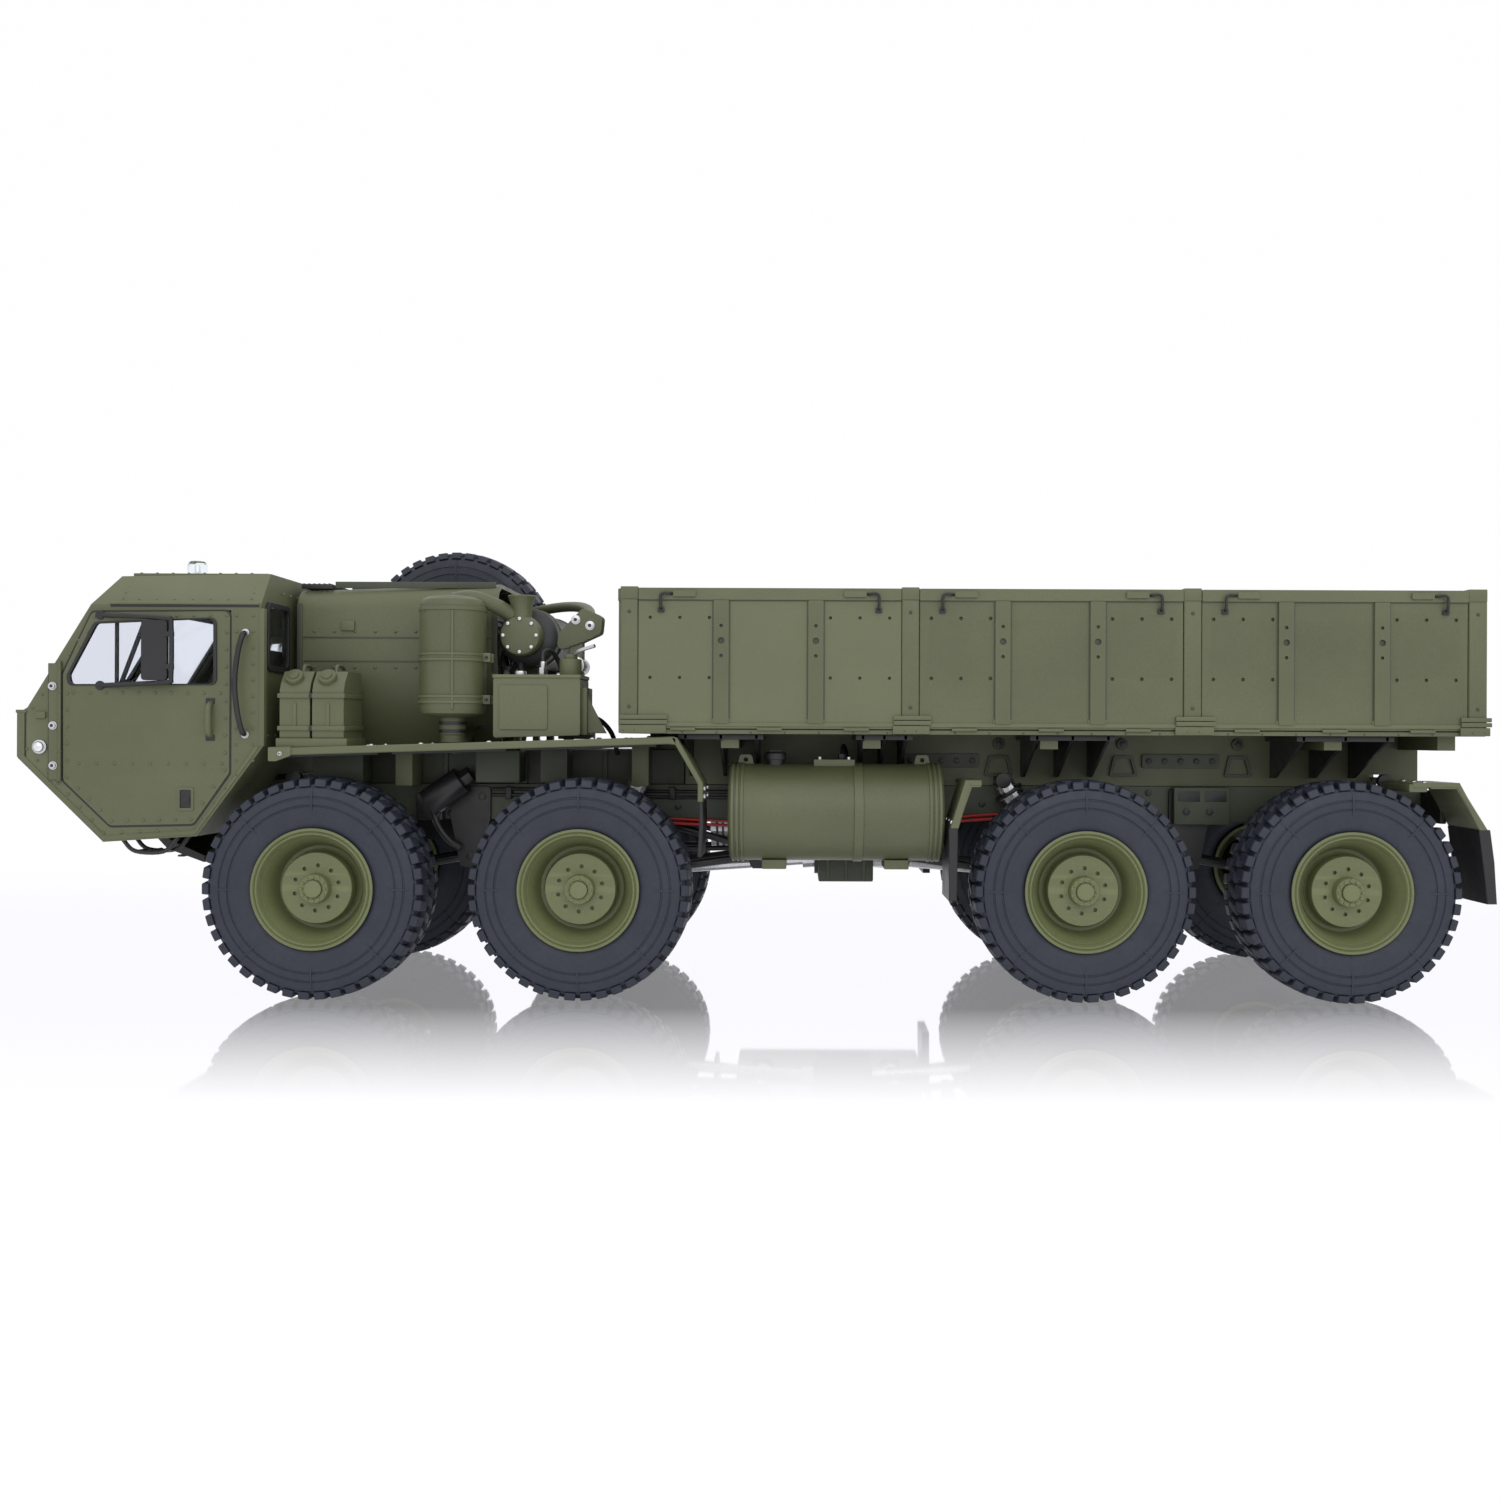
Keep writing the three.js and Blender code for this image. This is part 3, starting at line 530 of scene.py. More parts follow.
def rim_mesh():
    """A deep two-step rim with a drilled disc, a hub boss and its ring of cap bolts; outward is -Y."""
    kit = Kit()
    shell = [
        (34.0, -17.6), (34.1, -18.6), (33.7, -19.0), (32.7, -19.0), (32.3, -18.5), (32.0, -18.2),
        (31.6, -18.5), (31.3, -18.9), (30.7, -18.9), (30.2, -18.3), (29.6, -16.6), (28.0, -13.4),
        (26.6, -11.0), (25.6, -7.0), (24.6, -3.0), (23.4, -1.4), (21.6, -1.2), (20.6, -2.2), (20.3, -3.4),
        (20.2, -8.6), (19.7, -DISC_FACE), (19.2, -DISC_FACE), (19.2, -7.6), (8.0, -7.6), (8.0, -5.0),
        (19.0, -4.6), (19.4, -0.4), (21.6, 0.4), (24.4, 0.4), (26.4, -1.0), (26.5, 16.6), (28.6, 17.0),
        (28.7, -15.0), (33.6, -16.6),
    ]
    kit.revolve(shell, sides=96, closed=True)
    holes = [circle(point, 1.15, 14) for point in circle((0, 0), 12.7, BOLT_HOLES, 0.4)]
    kit.plate(circle((0, 0), 19.25, 96), (-DISC_FACE, -7.8), holes=[circle((0, 0), 7.6, 48), *holes],
              bevel=0.15)
    boss = [
        (0, -5.0), (8.6, -5.0), (8.6, -DISC_FACE - 0.2), (8.3, -DISC_FACE - 0.8), (8.1, -15.2), (7.7, -15.7),
        (5.3, -15.7), (5.3, -15.2), (4.9, -15.1), (4.9, -16.9), (4.5, -17.3), (0, -17.4),
    ]
    kit.revolve(boss, sides=64)
    for x, z in circle((0, 0), 6.55, 12):
        kit.cylinder((x, -15.4, z), (x, -16.5, z), 1.0, 0.85, sides=6, bevel=0.15)
    return kit.mesh("rim")


def build_wheels():
    tyre, rim = tyre_mesh(), rim_mesh()
    for i, x in enumerate(AXLE_X, 1):
        for name, side in SIDES.items():
            centre = (x, side * WHEEL_Y, AXLE_Z)
            turn = 0.0 if side < 0 else math.pi
            body = f"wheel_{i}_{name}"
            place(f"tyre_look_{i}_{name}", tyre, "tyre_rubber", body, [f"tyre_{i}_{name}"], 30, centre, turn)
            place(f"rim_look_{i}_{name}", rim, "rim_olive", body, [f"rim_{i}_{name}"], 30, centre, turn)
    place("spare_tyre_look", tyre, "tyre_rubber", "chassis", ["spare_tyre"], 30, SPARE_CENTRE, math.pi)
    place("spare_rim_look", rim, "rim_olive", "chassis", ["spare_rim"], 30, SPARE_CENTRE, math.pi)


# ---------------------------------------------------------------- cab

DOOR_SIDE = [
    (-387.2, 122.2), (-360.5, 96.7), (-313.6, 97.8), (-293.3, 126.7), (-293.3, 218.0), (-371.1, 217.2),
    (-387.7, 182.2),
]
WINDOW_SIDE = [(-383.8, 175.6), (-300.8, 176.1), (-301.1, 213.9), (-369.4, 211.1), (-384.7, 181.1)]
DOOR_MIDDLE = (-340.0, 158.0)
WINDOW_MIDDLE = (-342.0, 194.0)
MIRROR_SIDE = rect(-340, -325.6, 178.4, 211.8)
RIVET_STEP = 9.6
CAB_FACE_Y = 98.0
DOOR_FACE_Y = 98.6
ROOF_Z = 240.0
EAVES_Z = 221.0


def build_door(name, side):
    body = f"door_{name}"

    def out(distance):
        return side * (DOOR_FACE_Y + distance)

    leaf_line = rounded(scaled_about(DOOR_SIDE, DOOR_MIDDLE, 0.8), 4)
    opening = rounded(scaled_about(WINDOW_SIDE, WINDOW_MIDDLE, 1.5), 3)
    leaf = Kit()
    leaf.plate(leaf_line, (out(0), out(-2.6)), holes=[opening], bevel=0.35)
    leaf.plate(rect(-322.7, -313.6, 106, 119, 1.2), (out(0.5), out(-0.4)),
               holes=[rect(-321.3, -315, 107.4, 117.6, 0.8)])
    leaf.tube([(-304.5, out(-0.5), 148), (-304.5, out(2.6), 150), (-304.5, out(3.2), 157),
               (-304.5, out(2.6), 164), (-304.5, out(-0.5), 166)], 1.6)
    leaf.piece(f"door_leaf_{name}", "olive_paint", body, [f"door_{name}"])

    trim = Kit()
    trim.plate(rounded(WINDOW_SIDE, 4), (out(0.8), out(-0.6)),
               holes=[rounded(scaled_about(WINDOW_SIDE, WINDOW_MIDDLE, 2.0), 3)], bevel=0.35)
    trim.box((-321.5, -314.8), (out(0.12), out(-1.4)), (107, 118), 0.1)
    trim.box((-320.2, -316), (out(0.7), out(-0.8)), (110, 113.5), 0.3)
    for z in (146.6, 167.2):
        trim.box((-307, -302), (out(0.5), out(-0.4)), (z - 1.6, z + 1.6), 0.3)
    trim.piece(f"door_trim_{name}", "black_plastic", body)

    pane = Kit()
    pane.plate(rounded(scaled_about(WINDOW_SIDE, WINDOW_MIDDLE, 1.0), 3), (out(-0.9), out(-1.5)), bevel=0)
    pane.piece(f"door_glass_{name}", "window_clear", body)

    bars = Kit()
    bars.box((-359, -357), (out(-2), out(-3.4)), (176.5, 212.5), 0.3)
    strut = [(-356.6, 177.6), (-354.0, 177.6), (-341.0, 212), (-343.6, 212)]
    bars.hull(*[[(x, out(depth), z) for x, z in strut] for depth in (-2.0, -3.2)], 0.3)
    bars.piece(f"door_window_bars_{name}", "black_metal", body)

    rivets = Kit()
    rivets.rivet_row(along_outline(scaled_about(DOOR_SIDE, DOOR_MIDDLE, 3.6), RIVET_STEP), out(0), side)
    for start, end, z in ((-381, -299, 171.6), (-378, -298, 132.2)):
        rivets.rivet_row(along_outline([(start, z), (end, z)], RIVET_STEP, closed=False), out(0), side)
    rivets.piece(f"door_rivets_{name}", "olive_paint", body)

    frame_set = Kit()
    rail = [(-366, out(-0.2), 215), (-352, out(3.4), 214.4), (-326, out(7.2), 212.6),
            (-323.3, out(7.6), 209.6), (-323.3, out(7.6), 180.2), (-326, out(7.2), 177.4),
            (-352, out(3.4), 176.2), (-366, out(-0.2), 175.7)]
    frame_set.tube(rail, 1.35)
    for x, z in ((-366, 215), (-366, 175.7)):
        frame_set.cylinder((x, out(-0.3), z), (x, out(0.9), z), 2.6, sides=16)
    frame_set.piece(f"mirror_frame_{name}", "black_plastic", body)
    mirror = Kit()
    mirror.plate(rounded(MIRROR_SIDE, 2.2), (out(5.2), out(7.6)), bevel=0.7)
    for z in (186, 204):
        mirror.box((-327, -321.8), (out(6.6), out(8.6)), (z - 1.4, z + 1.4), 0.3)
    mirror.piece(f"mirror_back_{name}", "black_plastic", body)
    reflector = Kit()
    reflector.plate(rounded(scaled_about(MIRROR_SIDE, (-332.8, 195), 1.4), 1.6), (out(5.0), out(5.3)),
                    bevel=0.1)
    reflector.piece(f"mirror_glass_{name}", "chrome", body)


def build_cab_side(name, side):
    def out(distance):
        return side * (CAB_FACE_Y + distance)

    face = Kit()
    face.box((-394.6, -389.2), (out(1.1), out(-0.4)), (123, 188), 0.3)
    face.box((-412.6, -408.3), (out(0.5), out(-1)), (135.5, 161.2))
    face.box((-413.2, -407.2), (out(0.7), out(-1.5)), (160.2, 162))
    lower = [(-411.6, 136), (-364, 89.3), (-312.8, 92.6), (-277.2, 141.6), (-279.6, 142.2), (-313.6, 95.2),
             (-363.4, 92.0), (-409.6, 137.4)]
    face.plate(lower, (out(0.7), out(-1)), bevel=0.35)
    face.cylinder((-388.4, out(1.2), 122), (-388.4, out(1.2), 189), 1.0, sides=12)
    for z in (139, 156, 172):
        face.cylinder((-388.4, out(1.2), z - 0.4), (-388.4, out(1.2), z + 0.4), 1.25, sides=12, bevel=0.1)
    face.box((-402, -396.4), (out(1.4), out(-0.4)), (157.2, 161), 0.5)
    face.box((-277.6, -274.6), (out(0.7), out(-4)), (142, 219))
    drip = rect(-361, -277.5, EAVES_Z + 1.4, EAVES_Z)
    face.plate(drip, (out(0.9), out(-0.6)), bevel=0.3)
    face.piece(f"cab_side_trim_{name}", "olive_paint")

    screws, sockets = Kit(), Kit()
    side_screws(screws, sockets, ((-392.4, 175.2), (-392.1, 153.2), (-391.9, 130.9)), out(1.0), side, 1.9)
    side_screws(screws, sockets, ((-285.3, 148.5), (-285.3, 205.5)), out(0), side, 1.7)
    screws.cylinder((-399.7, out(-0.2), 141.3), (-399.7, out(1.4), 141.3), 4.0, sides=32, bevel=0.4)
    screws.piece(f"cab_screws_{name}", "steel")
    sockets.piece(f"cab_screw_sockets_{name}", "black_metal")
    lamp = Kit()
    lamp.revolve([(0, 3.0), (1.4, 2.8), (2.5, 2.1), (3.0, 1.2), (3.0, 0.2), (0, 0.2)], axis="Y", sides=32)
    lamp_piece = lamp.piece(f"marker_lamp_{name}", "chrome", origin=(-399.7, out(1.1), 141.3))
    if side < 0:
        lamp_piece.rotation_euler = (0, 0, math.pi)

    handle_and_shade_lines = Kit()
    handle_and_shade_lines.tube([(-285.3, out(-0.5), 148.5), (-285.4, out(4.5), 150.5), (-287.6, out(5.6), 161),
               (-289.2, out(5.6), 177),
               (-287.6, out(5.6), 193), (-285.4, out(4.5), 203.5), (-285.3, out(-0.5), 205.5)], 1.5)
    # painted shade: a dark ring round the door gap, and thin black strips under the drip rail and beside the
    # raised trim strips
    handle_and_shade_lines.plate(rounded(scaled_about(DOOR_SIDE, DOOR_MIDDLE, -0.4), 4), (out(0.12), out(-1.8)), holes=[
        rounded(scaled_about(DOOR_SIDE, DOOR_MIDDLE, 0.9), 4)], bevel=0)
    handle_and_shade_lines.box((-408.4, -407.6), (out(0.25), out(-1)), (135.5, 161), 0)
    handle_and_shade_lines.box((-360.6, -277.6), (out(0.15), out(-1)), (219.6, 221), 0)
    handle_and_shade_lines.box((-395.3, -394.5), (out(0.2), out(-1)), (123, 188), 0)
    handle_and_shade_lines.piece(f"grab_handle_and_shade_lines_{name}", "black_plastic")

    rivets = Kit()
    rivets.rivet_row([(x, z) for x in (-290.4, -281.0) for z in range(134, 216, 9)], out(0), side)
    for line in ([(-407, 140), (-384, 115), (-364, 93.5), (-314, 95), (-290, 126)],
                 [(-404, 163), (-368, 216)]):
        rivets.rivet_row(along_outline(line, 9.4, closed=False), out(0), side)
    slope = Vector((0, side * 19, 16)).normalized()
    for x in (-355, -283):
        for share in (0.2, 0.4, 0.6, 0.8):
            z = EAVES_Z + share * (ROOF_Z - 1.4 - EAVES_Z)
            rivets.rivet((x, side * (98 - 16 * share), z), slope)
    for x in range(-346, -286, 10):
        rivets.rivet((x, side * 95.3, EAVES_Z + 3.2), slope, 0.6, 0.35)
    rivets.piece(f"cab_rivets_{name}", "olive_paint")

    step = Kit()
    for inward in (0, 16):
        y = side * (95 - inward)
        step.tube([(-355.5, y, 91.5), (-354.2, y, 89), (-347.6, y, 83), (-332, y, 82.8), (-325, y, 89.6),
                   (-323.6, y, 92.5)], 1.2)
    for x in (-346, -340, -334):
        step.cylinder((x, side * 79, 82.9), (x, side * 95, 82.9), 1.0, sides=10)
    step.piece(f"cab_step_{name}", "black_metal")


def build_cab_rear():
    """Rear windows of the cab, and rows of rivets on the rear wall round them."""
    wall_x = -276.2
    for name, side in SIDES.items():
        corner = rect(side * 58, side * 90, 186, 222)
        middle = (side * 74, 204)
        ring = Kit()
        ring.plate(rounded(scaled_about(corner, middle, -2.2), 5), (wall_x - 1.6, wall_x + 1.4), "yz",
                   [rounded(scaled_about(corner, middle, 2.0), 4)], 0.4)
        ring.piece(f"rear_window_gasket_{name}", "black_plastic")
        pane = Kit()
        pane.plate(rounded(scaled_about(corner, middle, 1.0), 4), (wall_x - 0.4, wall_x + 0.2), "yz", bevel=0)
        pane.piece(f"rear_window_glass_{name}", "window_clear")
    rivets = Kit()
    for y in range(-90, 91, 12):
        for z in (148, 230):
            if abs(y) < 78 or z < 200:
                rivets.rivet((wall_x + 0.4, y, z), (1, 0, 0))
    rivets.piece("cab_rear_rivets", "olive_paint")


SCREEN_FOOT = (-406.9, 163.3)
SCREEN_UP = (0.522, 0.853)


def on_screen(up, y, depth):
    """A point so far up the windscreen, across it, and behind its face."""
    return (SCREEN_FOOT[0] + SCREEN_UP[0] * up + SCREEN_UP[1] * depth, y,
            SCREEN_FOOT[1] + SCREEN_UP[1] * up - SCREEN_UP[0] * depth)


def screen_box(kit, up, y, depth, bevel=0.3):
    corners = [(up[0], y[0]), (up[1], y[0]), (up[1], y[1]), (up[0], y[1])]
    kit.hull([on_screen(u, v, depth[1]) for u, v in corners], [on_screen(u, v, depth[0]) for u, v in corners],
             bevel)


HEADLAMP = (-414.2, 72.0, 147.5)


def build_cab_front():
    gasket = Kit()
    for up in ((6.6, 10), (70, 73.4)):
        screen_box(gasket, up, (-87.4, 87.4), (-0.9, 1.5))
    for y in ((-87.4, -84), (84, 87.4), (-4.4, -1.8), (1.8, 4.4)):
        screen_box(gasket, (9.6, 70.4), y, (-0.9, 1.5))
    for side in (-1, 1):
        gasket.tube([on_screen(4, side * 20, -2.2), on_screen(9, side * 36, -2.4),
                     on_screen(12, side * 52, -2.0)], 0.9)
        gasket.tube([on_screen(12.4, side * 30, -1.2), on_screen(13.6, side * 76, -1.2)], 0.9, smooth=False)
        gasket.cylinder(on_screen(4, side * 20, 0), on_screen(4, side * 20, -3), 2.2, sides=16)
    gasket.piece("windscreen_gasket", "black_plastic")
    post = Kit()
    screen_box(post, (8, 72), (-1.9, 1.9), (-0.7, 3))
    for y in (-60, 60):
        post.box((-414.6, -411.8), (y - 25, y + 25), (137.5, 157.5), 0.8)
    for z in (139, 143.5, 148, 152.5, 157):
        post.box((-413.6, -411.8), (-31, 31), (z - 1.1, z + 1.1))
    post.piece("cab_front_panels", "olive_paint")
    for name, side in SIDES.items():
        x, y, z = HEADLAMP[0], side * HEADLAMP[1], HEADLAMP[2]
        bezel = Kit()
        bezel.revolve([(0, -0.3), (3.0, -0.4), (7.0, -1.0), (7.8, -3.0), (8.8, -3.2), (9.4, -2.6), (9.4, 0),
                       (0, 0)],
                      axis="X", sides=40)
        bezel.piece(f"headlamp_bowl_{name}", "chrome", origin=(x, y, z))
        glass = Kit()
        glass.revolve([(0, -3.6), (3.5, -3.3), (6.2, -2.5), (7.6, -1.4), (7.4, -1.0), (0, -2.6)], axis="X",
                      sides=40)
        glass.piece(f"headlamp_lens_{name}", "lens_clear", origin=(x, y, z))
        small = Kit()
        small.revolve([(0, -3.0), (2.2, -2.6), (3.6, -1.6), (4.0, 0), (0, 0)], axis="X", sides=24)
        small.piece(f"front_marker_{name}", "lens_amber", origin=(x, y * 0.7, z))
    rivets = Kit()
    for y in range(-88, 89, 11):
        rivets.rivet((-412.2, y, 158.6), (-1, 0, 0))
        rivets.rivet(on_screen(3.4, y, 0), (-SCREEN_UP[1], 0, SCREEN_UP[0]))
        if abs(y) > 44:
            rivets.rivet((-405.2, y, 128.2), (-0.7, 0, -0.71))
            rivets.rivet((-371.0, y, 94.8), (-0.7, 0, -0.71))
    rivets.piece("cab_front_rivets", "olive_paint")
    hooks = Kit()
    for y in (-31, 31):
        hooks.tube([(-383, y, 113), (-390, y, 111), (-391.5, y, 105), (-386, y, 101), (-380, y, 103)], 1.8)
    hooks.tube([(-384, -36, 117), (-388, -36, 119), (-388, 36, 119), (-384, 36, 117)], 1.4, smooth=False)
    for i in range(3):
        x, z = -366 + 8 * i, 92 - 7.5 * i
        hooks.box((x - 2, x + 2), (-30, 30), (z - 2.6, z - 1.4))
    hooks.piece("bumper_hooks", "black_metal")


def build_cab_roof():
    seams = Kit()
    for y in (-79, 79):
        seams.box((-356, -279), (y - 1.4, y + 1.4), (ROOF_Z - 1.9, ROOF_Z + 0.4), 0.3)
    hatch = rect(-338, -298, -30, 30, 8, 6)
    seams.plate(hatch, (ROOF_Z - 1.5, ROOF_Z + 1.2), "xy", bevel=0.5)
    for y in (-22, 22):
        seams.box((-341, -335), (y - 4, y + 4), (ROOF_Z - 1.4, ROOF_Z + 2.2), 0.5)
    seams.piece("roof_hatch", "olive_paint")
    rivets = Kit()
    for x in range(-352, -281, 9):
        for y in (-79, 79):
            rivets.rivet((x, y, ROOF_Z + 0.3), (0, 0, 1))
    for y in range(-68, 69, 10):
        rivets.rivet((-281, y, ROOF_Z - 0.1), (0, 0, 1))
        rivets.rivet((-356, y, ROOF_Z - 1.7), (0, 0, 1))
    rivets.piece("roof_rivets", "olive_paint")
    for name, side in SIDES.items():
        spot = (-328, side * 60, ROOF_Z)
        base = Kit()
        base.revolve([(0, -1.2), (6.6, -1.2), (6.6, 0.5), (6.0, 1.0), (0, 1.0)], axis="Z", sides=32)
        base.piece(f"beacon_base_{name}", "black_plastic", origin=spot)
        dome = Kit()
        dome.revolve([(5.4, 0.8), (5.5, 7.2), (5.0, 8.8), (3.8, 9.6), (0, 9.8), (0, 9.0), (3.4, 8.8),
                      (4.5, 7.9),
                      (4.8, 6.8), (4.7, 0.8)], axis="Z", sides=32)
        lamp = Kit()
        lamp.revolve([(0, 0.8), (3.6, 0.8), (3.9, 1.6), (1.4, 3.2), (1.3, 6.6), (0.9, 7.2), (0, 7.4)],
                     axis="Z", sides=32)
        lamp.piece(f"beacon_lamp_{name}", "chrome", origin=spot)
        dome.piece(f"beacon_dome_{name}", "lens_clear", origin=spot)
    grate = Kit()
    for x in range(-270, -252, 3):
        grate.box((x - 0.5, x + 0.5), (-48, 48), (235.4, 238.4), 0.15)
    for y in (-48, -24, 0, 24, 48):
        grate.box((-271, -253), (y - 0.6, y + 0.6), (235.2, 238.0), 0.15)
    grate.piece("intake_grating", "black_metal")


def build_cab():
    for name, side in SIDES.items():
        build_door(name, side)
        build_cab_side(name, side)
    build_cab_rear()
    build_cab_front()
    build_cab_roof()


# ---------------------------------------------------------------- engine bay and decks

DECK_FRONT, DECK_REAR = -271.6, -46.0
DECK_INNER, DECK_OUTER = 62, 100
DECK_FRONT_Z, DECK_RISE = 141, 0.0324


def deck_z(x):
    """The height of the deck, which rises slightly to the rear."""
    return DECK_FRONT_Z + DECK_RISE * (x - DECK_FRONT)


def build_deck(name, side):
    rear_z = deck_z(DECK_REAR)
    deck = Kit()
    top = [(DECK_FRONT, DECK_FRONT_Z), (DECK_REAR, rear_z), (-44.4, rear_z - 1.2), (-44.4, rear_z - 4.6),
           (DECK_REAR - 3, rear_z - 4.2), (DECK_FRONT, 136.8)]
    deck.plate(top, (side * DECK_INNER, side * DECK_OUTER), bevel=0.5)
    deck.plate([(DECK_FRONT, 140.6), (DECK_REAR, rear_z - 0.4), (DECK_REAR, rear_z - 3), (DECK_FRONT, 137.8)],
               (side * 37, side * 63), bevel=0.2)
    leg = [(-47.4, rear_z - 0.4), (-44.2, rear_z - 0.4), (-29.6, 122.6), (-29.6, 112), (-32.4, 112),
           (-32.4, 122)]
    deck.plate(leg, (side * DECK_INNER, side * DECK_OUTER), bevel=0.4)
    deck.plate(rounded([(-271.6, 141.6), (-259, 142), (-259, 137), (-267.4, 133.8), (-271.6, 133.8)], 0.8),
               (side * 97.2, side * 100.6), bevel=0.4)
    deck.box((-74, -64), (side * 40, side * 58), (119, 143), 0.6)
    deck.box((-212, -202), (side * 37, side * 60), (119, 139), 0.6)
    deck.piece(f"deck_{name}", "olive_paint", stands_for=[f"fender_deck_{name}"])
    flap = Kit()
    flap.plate([(-31.8, 121), (-30.0, 121), (-29.2, 100), (-30.4, 81), (-32.6, 81), (-31.6, 100)],
               (side * 63, side * 99), bevel=0.4)
    for x0, x1 in ((-270, -212), (-204, -140), (-132, -56)):
        flap.plate([(x0, deck_z(x0) - 4), (x1, deck_z(x1) - 4), (x1, deck_z(x1) - 5.4),
                    (x0, deck_z(x0) - 5.4)],
                   (side * 64, side * 96), bevel=0.2)
    flap.piece(f"mud_flap_{name}", "black_plastic")
    bolts, dark = Kit(), Kit()
    for z in (115, 119.5):
        for y in (68, 94):
            bolts.cylinder((-29.8, side * y, z), (-28.4, side * y, z), 1.4, sides=6, bevel=0.2)
    for x in (-262, -216, -188, -150, -92, -60):
        bolts.rivet((x, side * 94, deck_z(x)), (0, 0, 1), 1.6, 0.9)
        bolts.rivet((x, side * 66, deck_z(x)), (0, 0, 1), 1.6, 0.9)
    socket_screw(bolts, dark, (-265, side * 100.4, 138), (0, side, 0), 1.0)
    bolts.piece(f"deck_bolts_{name}", "steel")
    dark.piece(f"deck_bolt_sockets_{name}", "black_metal")


def build_engine_cover():
    """The cowl, rounded over its shoulders and drawn in below, open underneath and behind."""
    outer = [(-37, 142.6), (-43, 152), (-50, 169), (-53, 186), (-53, 222)]
    outer += [(-53 + 12 * (1 - math.cos(t)), 222 + 12.4 * math.sin(t))
              for t in (math.pi / 16 * k for k in range(1, 9))]
    half = [(abs(y), z) for y, z in outer]
    inner = []
    for y, z in half:
        drop = 2.4 if z > 232 else 1.2 if z > 226 else 0
        inner.append((y - 2.4, z - drop + (0.2 if z < 150 else 0)))
    loop = outer + half[::-1] + inner + [(-y, z) for y, z in inner[::-1]]
    cowl = Kit()
    cowl.plate(loop, (-272, -154), "yz", bevel=0.2)
    for vert in cowl.bm.verts:
        if vert.co.z > 215:
            vert.co.z += (vert.co.x + 272) * 0.037
    front = outer + half[::-1]
    cowl.plate(front, (-272, -269.4), "yz", bevel=0.2)
    cowl.piece("engine_cowl", "olive_paint", stands_for=["engine_cover"])


FAN_Z = 188.0


def build_engine_cover_trim():
    seams, rivets = Kit(), Kit()
    for side in (-1, 1):
        y = side * 53
        for z in (206, 192):
            seams.box((-271.4, -155), (y, y + side * 0.35), (z - 0.45, z + 0.45), 0.1)
        for x in (-270.4, -155.6):
            seams.box((x - 1.6, x + 1.6), (y, y + side * 0.8), (186, 226), 0.3)
        for x in range(-262, -158, 12):
            for z in (209.6, 188.4):
                rivets.rivet((x, y, z), (0, side, 0))
        for x in (-246, -190):
            rivets.box((x, x + 8), (y, y + side * 1.6), (210, 216), 0.5)
    for y in (-48, -16, 16, 48):
        seams.box((-251, -156), (y - 0.8, y + 0.8), (235.6, 239.4), 0.3)
    seams.piece("engine_cover_seams", "frame_olive")
    rivets.piece("engine_cover_rivets", "olive_paint")
    core = Kit()
    core.box((-168, -163), (-44, 44), (152, 226), 0.6)
    for z in range(156, 224, 4):
        core.box((-163.4, -161.6), (-43, 43), (z - 0.8, z + 0.8), 0.2)
    core.cylinder((-161, 0, FAN_Z), (-157.8, 0, FAN_Z), 26, sides=40)

    def blade_loop(x, angles):
        """The root and tip of a fan blade, as four angles round the hub."""
        return [(x, radius * math.cos(angle), FAN_Z + radius * math.sin(angle))
                for radius, angle in zip((6, 6, 23, 23), angles)]

    for k in range(6):
        turn = k * math.pi / 3
        core.hull(blade_loop(-157.8, [turn + a for a in (-0.3, 0.3, 0.25, -0.15)]),
                  blade_loop(-156.4, [turn + a for a in (-0.25, 0.35, 0.3, -0.1)]), 0.2)
    core.piece("cooling_fan", "black_metal")


def build_jerry_cans():
    cans, dark = Kit(), Kit()
    for x0, x1 in ((-266.6, -249.8), (-248.4, -230.8)):
        side_line = [(-96.6, 146), (-96.6, 173), (-94.6, 177.6), (-88.4, 184.4), (-65, 184.4), (-63, 181),
                     (-63, 146)]
        cans.plate(rounded(side_line, 1.8), (x0, x1), "yz", bevel=1.3)
        middle = (x0 + x1) / 2
        cap = Vector((middle - 1.4, -92.4, 180.4))
        facing = Vector((0, -0.74, 0.67))
        cans.cylinder(cap - facing, cap + facing * 2.4, 5.2, 4.9, sides=32, bevel=0.5)
        cans.cylinder(cap + facing * 2.2, cap + facing * 3.4, 3.1, 2.8, bevel=0.4)
        cans.box((middle - 1, middle + 1), (-97.3, -96.2), (151.6, 166.4))
        cans.tube([(middle, -82, 184), (middle, -80, 187.6), (middle, -70, 187.6), (middle, -67, 184)], 1.1)
    cans.box((-268.4, -228.6), (-98, -61.6), (141.6, 146.6), 0.7)
    for z in (152.2, 170.4):
        for x0, x1 in ((-267.6, -249.2), (-249.0, -229.9)):
            cans.box((x0, x1), (-97.9, -61.8), (z - 1.3, z + 1.3), 0.5)
        dark.box((-249.9, -248.3), (-98.2, -63), (z - 1.6, z + 1.6), 0.3)
    cans.piece("jerry_cans", "olive_paint", stands_for=["jerry_can_rack"])
    dark.piece("jerry_can_latches", "black_metal")


FILTER_AXIS = (-174.6, -76.0)


